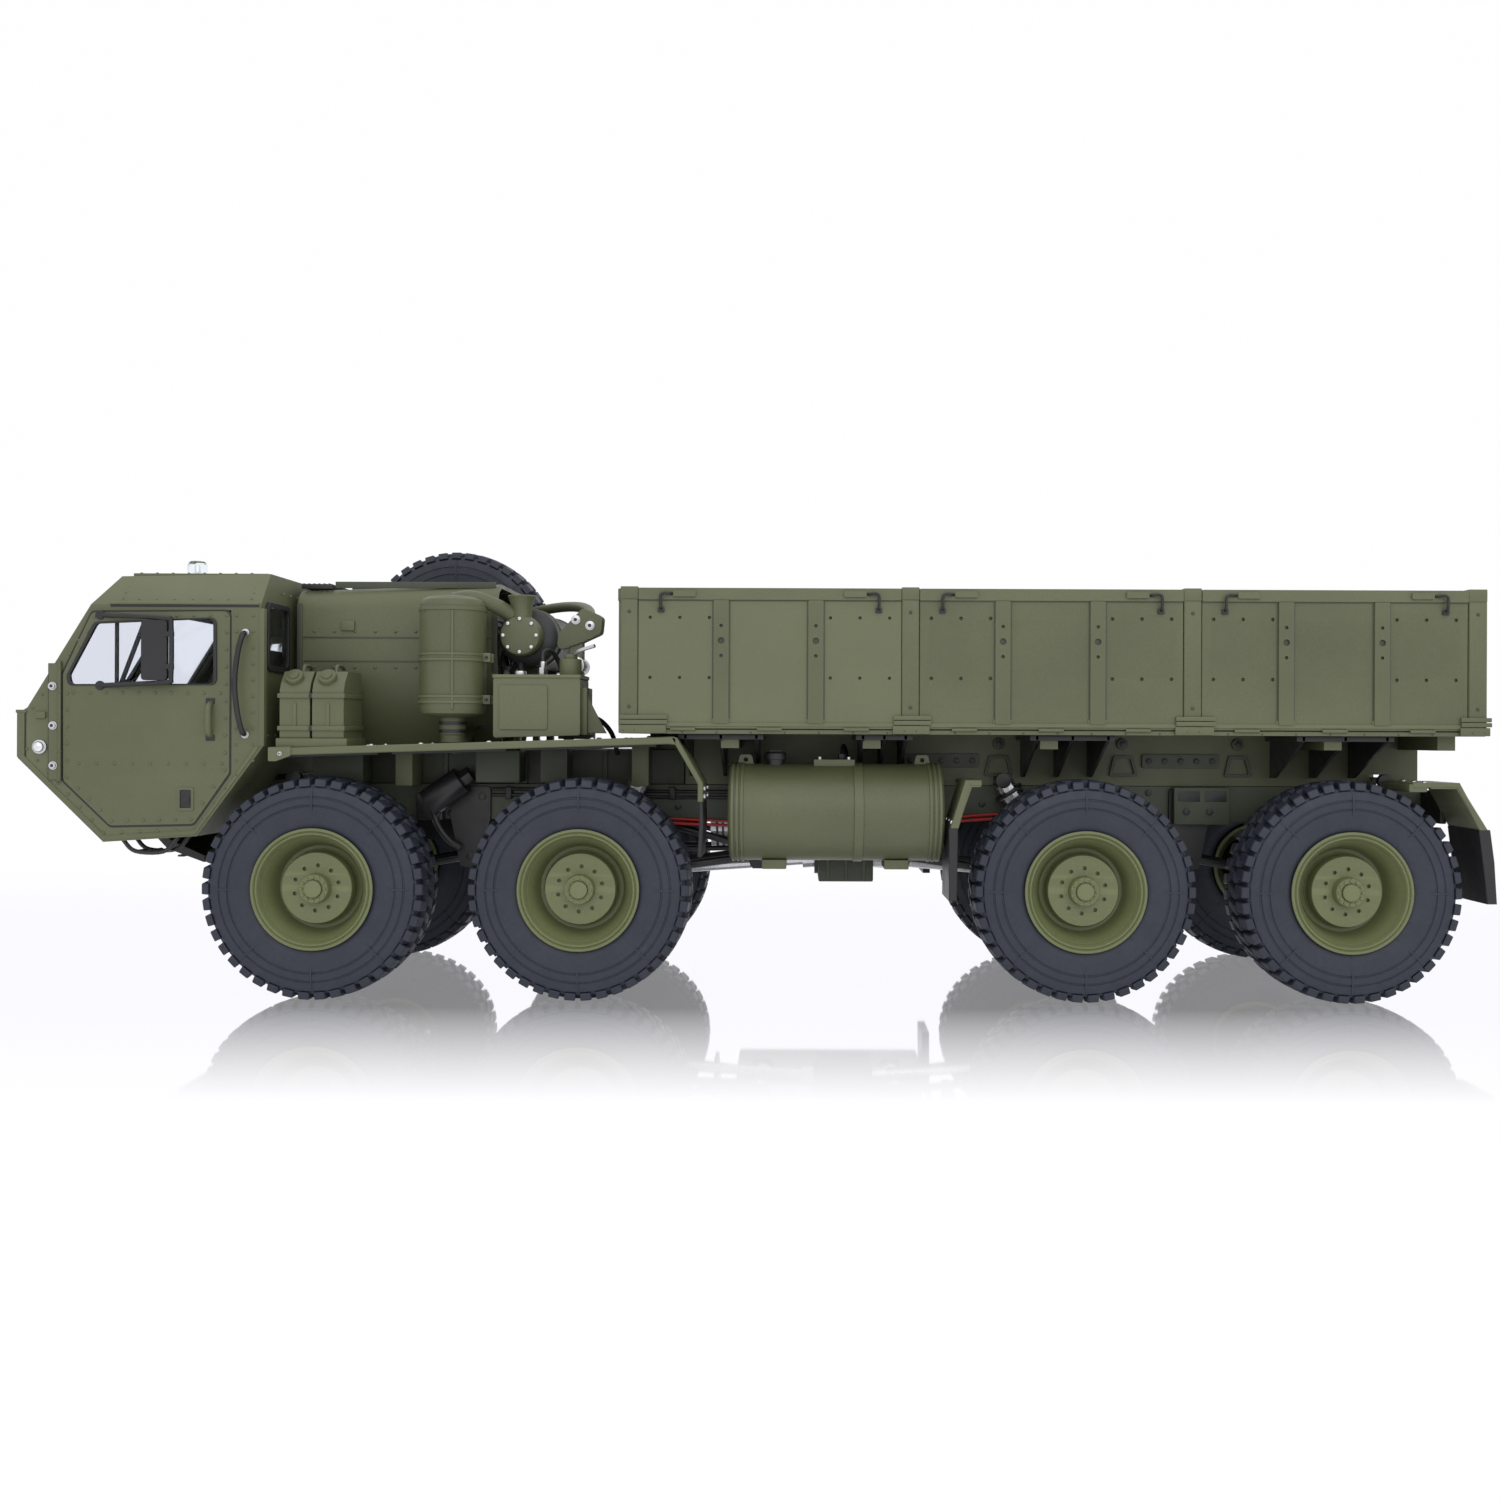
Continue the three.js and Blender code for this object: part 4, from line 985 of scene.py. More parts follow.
def build_air_cleaner():
    x, y = FILTER_AXIS
    shell = Kit()
    shell.revolve([
        (0, 228.4), (9, 228.2), (14.5, 227.4), (17.6, 225.6), (18.6, 223.4), (18.6, 221.8), (19.2, 221.4),
        (19.2, 219.4), (18.7, 219.0), (18.7, 164.0), (17.6, 161.0), (13, 159.2), (7.4, 158.6), (7.4, 149),
        (6.8, 148.6), (6.8, 144.6), (0, 144.6),
    ], (x, y, 0), "Z", 72)
    for z in (193, 169):
        shell.revolve([(18.6, z - 2.4), (19.6, z - 2.2), (19.6, z - 0.9), (19.1, z - 0.6), (19.1, z + 0.6),
                       (19.6, z + 0.9), (19.6, z + 2.2), (18.6, z + 2.4)], (x, y, 0), "Z", 72)
        for side in (-1, 1):
            shell.box((x + 15, x + 22.6), (y + side * 2.6, y + side * 6), (z - 2.6, z + 2.6), 0.5)
    shell.box((x + 3.4, x + 4.6), (y - 19.2, y - 17.4), (163, 219), 0.3)
    for z in (170, 206):
        shell.box((x - 12, x + 12), (-60, -52.4), (z, z + 6), 0.8)
    shell.tube([(x, y, 226), (x + 10, y + 1, 227.5), (x + 22, y + 6, 224), (x + 31, -64, 219)], 4.4, 16)
    shell.tube([(x, y, 146), (x, y + 4, 144.8), (x, y + 16, 144.8), (x, -46, 150)], 6.6, 18)
    shell.piece("air_cleaner_shell", "olive_paint", stands_for=["air_cleaner"])
    clamps = Kit()
    for z in (151, 155.5):
        clamps.revolve([(7.2, z - 1), (7.9, z - 0.9), (7.9, z + 0.9), (7.2, z + 1)], (x, y, 0), "Z", 40)
    for z in (193, 169):
        clamps.cylinder((x + 20.4, y - 8, z), (x + 20.4, y + 8, z), 0.9, sides=10)
    clamps.piece("air_cleaner_clamps", "black_metal")


def build_muffler():
    x, z = -135.8, 206.6
    drum = Kit()
    drum.revolve([
        (0, -56.4), (10, -56.2), (14.6, -55.4), (16.8, -53.4), (17.3, -52.6), (17.3, -50.6), (16.9, -50.0),
        (16.9, 44.6), (17.3, 45.2), (17.3, 47.2), (16.6, 48.6), (13, 50.2), (0, 50.6),
    ], (x, 0, z), "Y", 72)
    drum.piece("muffler_drum", "heat_shield", stands_for=["muffler"])
    pipe = Kit()
    pipe.revolve([(0, -69.4), (8.4, -69.2), (11, -68.2), (12, -66.4), (12.2, -64), (12.2, -58), (11.4, -55.8),
                  (0, -55.6)], (x - 2, 0, z), "Y", 56)
    pipe.revolve([(6.2, 214), (6.0, 219), (6.2, 224), (7.6, 228.6), (8.2, 229.6), (7.6, 230), (6.9, 229.2),
                  (5.4, 224), (5.2, 214)], (x - 2, -63, 0), "Z", 40)
    for y in (-34, 30):
        pipe.revolve([(16.8, y - 2.4), (17.8, y - 2.2), (17.8, y + 2.2), (16.8, y + 2.4)], (x, 0, z), "Y", 64)
        pipe.box((x - 3, x + 3), (y - 2.4, y + 2.4), (184, 190.6), 0.6)
    pipe.piece("exhaust_pipe", "olive_paint")
    bolts = Kit()
    for a, b in circle((x - 2, z), 9.6, 8):
        bolts.cylinder((a, -68.6, b), (a, -70.2, b), 1.1, sides=6, bevel=0.2)
    bolts.piece("exhaust_bolts", "steel")
    cradle = Kit()
    for y in (-34, 30):
        cradle.box((x - 12, x + 12), (y - 3, y + 3), (180.6, 184.6), 0.6)
        for dx in (-10, 10):
            cradle.box((x + dx - 2, x + dx + 2), (y - 3, y + 3), (120, 182), 0.5)
    cradle.piece("muffler_cradle", "olive_paint")


def build_spare_davit():
    """The arm that lowers the spare wheel, with its pivots and winch drum."""
    arm = Kit()
    for y0, y1 in ((-52.4, -49.4), (-44, -41)):
        arm.plate(rounded([(-120, 207), (-104, 224), (-92, 219), (-93, 209), (-106, 203), (-118, 199)], 3),
                  (y0, y1), bevel=0.4)
    arm.tube([(-100, -47, 214), (-106, -18, 226), (-128, 22, 231), (-162, 50, 228), (-192, 56, 222)], 3.2, 14)
    arm.box((-112, -104), (-51, -42), (150, 206), 0.6)
    arm.box((-118, -98), (-54, -38), (146.6, 150.4), 0.6)
    arm.piece("spare_davit", "olive_paint")
    pins, dark = Kit(), Kit()
    side_screws(pins, dark, ((-108, 217), (-99.6, 213.6)), -52.2, -1, 2.2)
    pins.cylinder((-108, -54, 190), (-108, -30, 190), 5.4, sides=32, bevel=0.6)
    pins.cylinder((-108, -40, 190), (-108, -32, 190), 3.4)
    pins.cylinder((-204.1, 50, 208.6), (-204.1, 93.4, 208.6), 3.0, sides=20)
    pins.piece("davit_pins", "steel")
    dark.piece("davit_pin_sockets", "black_metal")
    carrier = Kit()
    carrier.box((-214, -194), (50, 56), (140, 222), 0.8)
    carrier.box((-220, -188), (50, 72), (136.6, 141.6), 0.8)
    carrier.plate(rect(-216, -192, 196, 221, 4), (56, 62), bevel=0.5)
    carrier.piece("spare_carrier", "olive_paint")


def build_hydraulics():
    box = Kit()
    box.plate(rounded([(-148.6, 147.4), (-99.6, 148.8), (-99.6, 181.4), (-148.6, 181.4)], 1.6), (-90, -57),
              bevel=0.7)
    box.plate(rect(-149, -99.2, 181, 183), (-90.8, -56.4), bevel=0.4)
    box.plate(rect(-145, -118, 152, 177, 1.5), (-90.9, -89.6), bevel=0.3)
    box.plate([(-97.4, 150), (-86, 150), (-97.4, 172)], (-80, -77.6), bevel=0.3)
    box.box((-99.8, -96.6), (-84, -62), (149, 176), 0.5)
    box.cylinder((-107, -77, 182.6), (-107, -77, 192.4), 6.3, sides=32, bevel=0.6)
    box.cylinder((-107, -77, 192.2), (-107, -77, 195), 4.0, bevel=0.5)
    box.box((-150.6, -148.2), (-74, -62), (147, 160))
    box.piece("hydraulic_box", "olive_paint", stands_for=["hydraulic_unit"])
    metal_parts, dark = Kit(), Kit()
    metal_parts.tube([(-107, -77, 193.6), (-101, -82, 197), (-92, -86, 199.6)], 1.1)
    metal_parts.cylinder((-124, -70, 182.6), (-124, -70, 188), 2.6, sides=6, bevel=0.3)
    metal_parts.cylinder((-124, -70, 187.6), (-124, -70, 191.4), 1.9, sides=18, bevel=0.3)
    metal_parts.cylinder((-136, -76, 182.6), (-136, -76, 185.6), 3.6, bevel=0.5)
    socket_screw(metal_parts, dark, (-124, -62, 182.6), (0, 0, 1), 1.1)
    metal_parts.piece("hydraulic_fittings", "steel")
    dark.piece("hydraulic_screw_sockets", "black_metal")
    hoses = Kit()
    hoses.tube([(-124, -70, 190), (-124, -68, 197), (-119, -60, 196), (-113, -52, 178), (-112, -46, 158),
                (-112, -40, 142)], 1.4)
    hoses.tube([(-136, -74, 185), (-138, -66, 190), (-144, -58, 186), (-150, -48, 168), (-150, -40, 146)],
               1.4)
    hoses.tube([(-100, -70, 160), (-92, -66, 158), (-86, -56, 150), (-84, -44, 138)], 1.4)
    hoses.piece("hydraulic_hoses", "black_plastic")


def build_engine_bay():
    for name, side in SIDES.items():
        build_deck(name, side)
    build_engine_cover()
    build_engine_cover_trim()
    build_jerry_cans()
    build_air_cleaner()
    build_muffler()
    build_spare_davit()
    build_hydraulics()


# ---------------------------------------------------------------- cargo body and tanks

POSTS_X = [(-75.5, -66.1), (81.1, 90.6), (238.2, 247.8), (396.8, 406.8)]
BED_HALF = 100.0
BED_TOP_Z = 231.7
BED_LOAD_Z = 154.0


PANEL_HINGE_Z = 152.6


def build_side_panel(bay, name, side):
    body = f"side_panel_{bay + 1}_{name}"
    x0, x1 = POSTS_X[bay][1] + 0.4, POSTS_X[bay + 1][0] - 0.4
    foot, top = 153.0, BED_TOP_Z - 0.5

    def out(distance):
        return side * (BED_HALF + distance)

    ends = [x0 + d for d in (6.5, 23, 39.5)] + [x1 - d for d in (6.5, 23, 39.5)]
    holes = [circle((x, z), 0.95, 10) for x in ends for z in (214.8, 181.3)]
    leaf = Kit()
    leaf.plate(rect(x0, x1, foot, top), (out(-0.2), out(-2.4)), holes=holes)
    leaf.plate(rect(x0, x1, top - 6.6, top, 0.8), (out(0.9), out(-2.6)), bevel=0.35)
    leaf.plate(rect(x0, x1, foot + 1, foot + 3.4), (out(0.5), out(-2.5)), bevel=0.3)
    for share in (0.315, 0.675):
        x = x0 + share * (x1 - x0)
        rib = rect(x - 4.2, x + 4.2, foot + 3, 224.4, 0.5)
        drilled = [circle((x, 210.2), 1.0, 12), circle((x, 201.9), 1.85, 16), circle((x, 193.5), 1.0, 12)]
        leaf.plate(rib, (out(1.3), out(-0.4)), holes=drilled, bevel=0.45)
        leaf.plate(rect(x - 5.4, x + 5.4, foot + 3.2, 158.6), (out(0.5), out(-0.4)), bevel=0.3)
    for share in (0.17, 0.5, 0.83):
        x = x0 + share * (x1 - x0)
        leaf.cylinder((x - 7, out(0), PANEL_HINGE_Z), (x + 7, out(0), PANEL_HINGE_Z), 1.0, sides=16)
    for start in (x0 + 19.5, x1 - 32):
        leaf.plate(rect(start, start + 12.5, 226.2, 229.8, 0.9), (out(2.2), out(0.6)), bevel=0.4)
    leaf.piece(f"panel_leaf_{bay + 1}_{name}", "olive_paint", body, [body], 40)

    # painted shade: dark rivet heads filling the panel's holes, and thin dark strips beside the ribs, behind
    # their drilled holes and under the top rail
    panel_shade_strips = Kit()
    for x in ends:
        for z in (214.8, 181.3):
            panel_shade_strips.rivet((x, out(-1.6), z), (0, side, 0), 1.2, 0.3)
    for share in (0.315, 0.675):
        x = x0 + share * (x1 - x0)
        panel_shade_strips.box((x - 2.4, x + 2.4), (out(-0.5), out(-0.1)), (191, 213), 0)
        for dx in (-4.8, 4.8):
            panel_shade_strips.box((x + dx - 0.3, x + dx + 0.3), (out(-0.5), out(-0.1)), (156.6, 224.4), 0)
    panel_shade_strips.box((x0, x1), (out(-0.5), out(-0.05)), (223.9, 224.8), 0)
    panel_shade_strips.piece(f"panel_shadow_{bay + 1}_{name}", "frame_olive", body)

    hooks = Kit()
    for x, along in ((x0 + 12.6, 1), (x1 - 12.6, -1)):
        hooks.tube([(x + along * 6, out(1.0), 227.8), (x + along * 4, out(3.0), 228),
                    (x + along * 1.4, out(3.2), 228),
                    (x, out(3.2), 226.4), (x, out(2.8), 221), (x, out(0.4), 219.2)], 0.85, 8)
        hooks.box((x - 1.8, x + 1.8), (out(0), out(1.2)), (217.6, 220.4), 0.3)
    hooks.piece(f"panel_hooks_{bay + 1}_{name}", "black_metal", body)


def build_tailgate():
    half = BED_HALF - 6.4
    gate = Kit()
    x = 406.8
    gate.box((x - 2.4, x), (-half, half), (154.5, 231.2))
    gate.box((x - 2.6, x + 1.0), (-half, half), (224.6, 231.2), 0.5)
    gate.box((x - 2.5, x + 0.7), (-half, half), (154.5, 158))
    for y in (-57, -19, 19, 57):
        gate.plate(rounded([(y - 4.2, 157), (y + 4.2, 157), (y + 4.2, 218), (y + 3, 223.6), (y - 3, 223.6),
                            (y - 4.2, 218)], 1.6), (x - 0.4, x + 1.4), "yz", bevel=0.45)
    for y in (-80, 80):
        gate.tube([(x, y - 3, 200), (x + 3, y - 3, 201), (x + 3, y - 3, 212), (x + 3, y + 3, 212),
                   (x + 3, y + 3, 201), (x, y + 3, 200)], 1.0)
    gate.piece("tailgate_leaf", "olive_paint", "tailgate", ["tailgate"])


def build_bed():
    caps, feet, bolts = Kit(), Kit(), Kit()
    for name, side in SIDES.items():
        for i, (a, b) in enumerate(POSTS_X):
            caps.box((a - 0.2, b + 0.2), (side * 100.5, side * 93.6), (225, 232), 0.5)
            caps.box((a + 0.3, b - 0.3), (side * 100.4, side * 99), (160, 224.6))
            wide = [(-1, 16), (-5, 6), (-5, 7), (-5, 1.6)][i]
            feet.box((a + wide[0], b + wide[1]), (side * 101.6, side * 99.4), (150.2, 154.8), 0.5)
            feet.box((a + wide[0] + 0.4, b + wide[1] + 0.8), (side * 101.9, side * 99.4), (155.2, 157.6))
            feet.box((a + wide[0] + 0.4, b + wide[1] + 0.8), (side * 101.6, side * 99.4), (158, 160.4))
            feet.box((a - 1.6, b + 1.6), (side * 93.4, side * 97.2), (154.4, 231))
            for z in (165, 218):
                bolts.rivet(((a + b) / 2, side * 100.5, z), (0, side, 0), 1.0, 0.7)
            for x in (a + 1.5, b - 1.5):
                bolts.rivet((x, side * 101.2, 151.8), (0, side, 0), 0.8, 0.5)
        for x in range(-60, 396, 19):
            bolts.rivet((x, side * 99.5, 150.8), (0, side, 0), 0.7, 0.25)
    caps.piece("bed_post_caps", "olive_paint")
    feet.piece("bed_feet", "olive_paint")
    bolts.piece("bed_bolts", "frame_olive")
    floor = Kit()
    for y in range(-88, 89, 22):
        floor.box((-70, 402), (y - 10.6, y + 10.6), (BED_LOAD_Z - 0.6, BED_LOAD_Z + 0.5), 0.3)
    for x in (-40, 40, 120, 200, 280, 360):
        for y in (-94, 94):
            floor.revolve([(3.6, 0.4), (4.4, 1.0), (3.6, 1.5), (2.8, 1.0)], (x, y * 0.93, BED_LOAD_Z), "Z",
                          20, True)
    floor.box((398.5, 404.2), (-93.2, 93.2), (152.6, 156.2))
    floor.piece("bed_floor_planks", "frame_olive")
    back = Kit()
    for y in (-66, -33, 0, 33, 66):
        back.box((-77.6, -74.6), (y - 4, y + 4), (156, 223), 0.7)
    back.box((-77.4, -74.4), (-98, 98), (224, 231), 0.5)
    back.box((-77.0, -74.4), (-98, 98), (154, 157.6), 0.5)
    back.piece("headboard_ribs", "olive_paint")


RAIL_SCREWS = (
    (234.3, 115.5), (134.2, 108.6), (-185, 101.6), (-172, 101.8), (-83.5, 116.5), (-48.5, 106.2), (20, 106),
    (96, 112), (312, 108), (352, 108), (-232, 108), (-292, 108), (-130, 106),
)


def build_bed_underside():
    """Cross supports, pocket plates and clamps between the bed and the rails."""
    under, dark, screws, sockets = Kit(), Kit(), Kit(), Kit()
    for side in (-1, 1):
        for x0, x1 in ((158, 198), (308, 355), (-40, 0), (60, 84)):
            web = [(36.2, 125), (44, 125), (92, 147), (92, 150.4), (36.2, 150.4)]
            for x in (x0, (x0 + x1) / 2, x1):
                dark.plate([(side * a, b) for a, b in web], (x - 1, x + 1), "yz", bevel=0.3)
            dark.box((x0 - 4, x1 + 4), (side * 37, side * 92), (146.8, 150))
        for x0, x1 in ((87, 132), (230, 276)):
            under.plate(rect(x0, x1, 130.5, 138.6, 1.4), (side * 36.2, side * 38), bevel=0.4)
            row = [(x0 + 4 + k * (x1 - x0 - 8) / 4, 134.6) for k in range(5)]
            side_screws(screws, sockets, row, side * 37.8, side, 1.5)
        for x0, x1 in ((135, 152.6), (210, 227.4), (279, 296)):
            ring = [(x0, 125.4), (x1, 125.4), (x1 - 3, 137.8), (x0 + 3, 137.8)]
            middle = ((x0 + x1) / 2, 131.6)
            under.plate(rounded(ring, 1.5), (side * 36.2, side * 38.2),
                        holes=[rounded(scaled_about(ring, middle, 2.4), 1.2)], bevel=0.4)
        for x in (143.9, 218.2, 287.3):
            under.cylinder((x, side * 36.2, 144.7), (x, side * 38.4, 144.7), 3.4, bevel=0.4)
            socket_screw(screws, sockets, (x, side * 38, 144.7), (0, side, 0), 1.5)
        under.box((247.7, 280.8), (side * 36.2, side * 44), (97, 119), 0.8)
        # painted shade: two flat dark rectangles on the solid bracket box stand for the shade inside its open
        # pockets
        for x0, x1 in ((250, 263), (266, 279)):
            dark.box((x0, x1), (side * 43.7, side * 44.25), (110.6, 117), 0.3)
        side_screws(screws, sockets, ((255, 104.7), (268.8, 104.7)), side * 43.8, side, 1.8)
        side_screws(screws, sockets, RAIL_SCREWS, side * 35.8, side, 1.7)
    under.piece("subframe_plates", "frame_olive")
    dark.piece("bed_supports_and_pocket_shade", "black_metal")
    screws.piece("frame_screws", "black_metal")
    sockets.piece("frame_screw_sockets", "black_plastic")
    rear = Kit()
    rear.box((398.2, 402), (-62, 62), (99, 118), 0.8)
    for side in (-1, 1):
        rear.revolve([(4.2, -1.3), (5.5, 0), (4.2, 1.3), (2.9, 0)], (406.4, side * 33, 110), "Y", 28, True)
        rear.box((400, 405), (side * 30, side * 36), (107.6, 112.6), 0.5)
        rear.plate(rect(side * 50, side * 60, 101, 116, 2), (401.6, 404.4),
                   "yz", bevel=0.5)
    rear.cylinder((401, 0, 108), (409, 0, 108), 4.2, bevel=0.6)
    rear.box((401.6, 404.6), (-10, 10), (100, 116), 0.6)
    rear.piece("rear_beam", "black_metal")
    for name, side in SIDES.items():
        lamp = Kit()
        for z in (104.4, 112.6):
            lamp.cylinder((404, side * 55, z), (406.6, side * 55, z), 3.2, 2.7, bevel=0.5)
        lamp.piece(f"tail_lamps_{name}", "lens_red")


def build_guards():
    for name, side in SIDES.items():
        plates, flaps, bolts = Kit(), Kit(), Kit()
        plates.plate([(366, 124.2), (392, 124.2), (407.4, 96), (404.6, 95), (390.6, 121.4), (366, 121.4)],
                     (side * 61.6, side * 100.4), bevel=0.35)
        plates.plate(rect(364, 374, 119, 123.4, 1), (side * 63, side * 100), bevel=0.3)
        plates.plate([(116.8, 124.6), (125.8, 124.6), (125.8, 121.6), (119.8, 121.6), (112.6, 96.4),
                      (108.2, 96.8)],
                     (side * 63.6, side * 100.4), bevel=0.35)
        plates.piece(f"guard_strips_{name}", "olive_paint")
        flaps.plate([(402.6, 98), (409, 98), (411.4, 80), (412.9, 56.6), (407.6, 56.6), (405.2, 78)],
                    (side * 61.4, side * 100.7), bevel=0.4)
        flaps.plate([(107.6, 98), (112.8, 98), (112.5, 78), (112.3, 57.4), (107.6, 57.4), (107.8, 78)],
                    (side * 63.4, side * 100.7), bevel=0.4)
        flaps.piece(f"guard_flaps_{name}", "black_plastic")
        for y in (68, 82, 96):
            bolts.rivet((405.9, side * y, 98.4), (0.87, 0, 0.48), 1.4, 0.9)
            bolts.rivet((109.4, side * y, 101), (-0.96, 0, 0.27), 1.4, 0.9)
            bolts.rivet((374, side * y, 124.2), (0, 0, 1), 1.3, 0.8)
        bolts.piece(f"guard_bolts_{name}", "steel")


TANK_AXIS = (-69.0, 105.2)
TANK_RADIUS = 28.6
TANK_X = (-16.5, 106.7)


def build_tanks():
    y, z = TANK_AXIS
    left, right = TANK_X
    shell = Kit()
    radius = TANK_RADIUS - 0.7

    def band(start, width):
        return [(radius, start), (TANK_RADIUS, start + 0.3), (TANK_RADIUS, start + width - 0.3),
                (radius, start + width)]

    profile = [(0, left + 0.2), (20, left + 0.2), (25.6, left + 0.7), (27.6, left + 1.6)]
    for start in (left + 2.0, left + 4.7, left + 7.4):
        profile += band(start, 2.0)
    profile += band(55.0, 5.6)
    for start in (right - 9.4, right - 6.7, right - 4.0):
        profile += band(start, 2.0)
    profile += [(27.6, right - 1.6), (25.6, right - 0.7), (20, right - 0.2), (0, right - 0.2)]
    shell.revolve(profile, (0, y, z), "X", 96)
    for x in (-6.6, 95):
        shell.plate(rounded([(x - 5, z + 26), (x + 5, z + 26), (x + 3.4, z + 33), (x - 3.4, z + 33)], 1.6),
                    (y - 3, y + 3), holes=[circle((x, z + 30), 1.3, 14)], bevel=0.5)
    shell.box((32.5, 56), (y - 9, y + 9), (z + 26.4, z + 30.4), 0.6)
    for a, b in ((3, 17), (73, 87)):
        shell.box((a, b), (y - 10, y + 18), (z - 32.4, z - 27), 0.7)
        shell.box((a + 3, b - 3), (-44, -36.2), (z - 26, z + 12), 0.6)
    shell.piece("fuel_tank_shell", "olive_paint", stands_for=["fuel_tank"], smooth=30)
    cap = Kit()
    cap.revolve([(0, 34.6), (5.4, 34.4), (6.2, 33.6), (6.4, 30.4), (5.2, 30.2), (5.2, 26.6), (0, 26.6)],
                (10.5, y - 2, z), "Z", 36)
    cap.box((7, 14), (y - 3, y - 1), (z + 34, z + 36))
    cap.cylinder((49, y, z + 30), (49, y, z + 33.6), 2.6, sides=6, bevel=0.3)
    cap.tube([(49, y, z + 32), (50, y + 10, z + 38), (52, y + 24, z + 34), (54, -38, z + 20)], 1.3)
    cap.piece("fuel_cap", "black_metal")
    screws, sockets = Kit(), Kit()
    for x in (36, 52.6):
        for dy in (-6, 6):
            socket_screw(screws, sockets, (x, y + dy, z + 30.2), (0, 0, 1), 1.1)
    for a in (10, 80):
        screws.rivet((a, y, z - 32.2), (0, 0, -1), 1.6, 1.0)
    screws.piece("fuel_tank_screws", "steel")
    sockets.piece("fuel_tank_screw_sockets", "black_metal")

    box = Kit()
    box.box((-16, 106), (40, 97), (78, 134), 1.6)
    for x0, x1 in ((-13, 25), (28, 62), (65, 103)):
        box.plate(rect(x0, x1, 84, 128, 3), (96, 98.2), bevel=0.6)
        box.box(((x0 + x1) / 2 - 4, (x0 + x1) / 2 + 4), (97.8, 100), (120, 124), 0.5)
    for x in (20, 46):
        box.box((x, x + 8), (36.2, 42), (100, 116), 0.5)
    box.box((-17, 107), (39, 98.4), (131, 134.6), 0.8)
    box.piece("battery_box_shell", "olive_paint", stands_for=["battery_box"])
    latches = Kit()
    for x in (6, 45, 84):
        latches.box((x - 3, x + 3), (98, 100.4), (126, 133), 0.5)
    latches.piece("battery_box_latches", "steel")


def build_cargo():
    for bay in range(3):
        for name, side in SIDES.items():
            build_side_panel(bay, name, side)
    build_tailgate()
    build_bed()
    build_bed_underside()
    build_guards()
    build_tanks()


# ---------------------------------------------------------------- running gear

SHOCK_Y = 43.0
SHOCK_TOP = (AXLE_X[0] - 28, AXLE_X[1] + 28, AXLE_X[2] - 39, AXLE_X[3] + 39)
SHOCK_TOP_Z = 123.0
LINK_PIVOT_X = (-172.8, 1.3, 84.0, 258.1)
LINK_PIVOT_Z = 76.0
MOTOR_Z = 97.0


def coil(kit, start, end, radius, wire, turns):
    start, end = Vector(start), Vector(end)
    axis = end - start
    side = axis.orthogonal().normalized()
    other = axis.normalized().cross(side)
    points = []
    for k in range(turns * 12 + 1):
        t = 2 * math.pi * k / 12
        points.append(start + axis * (k / (turns * 12)) + (side * math.cos(t) + other * math.sin(t)) * radius)
    kit.tube(points, wire, 6, smooth=False)


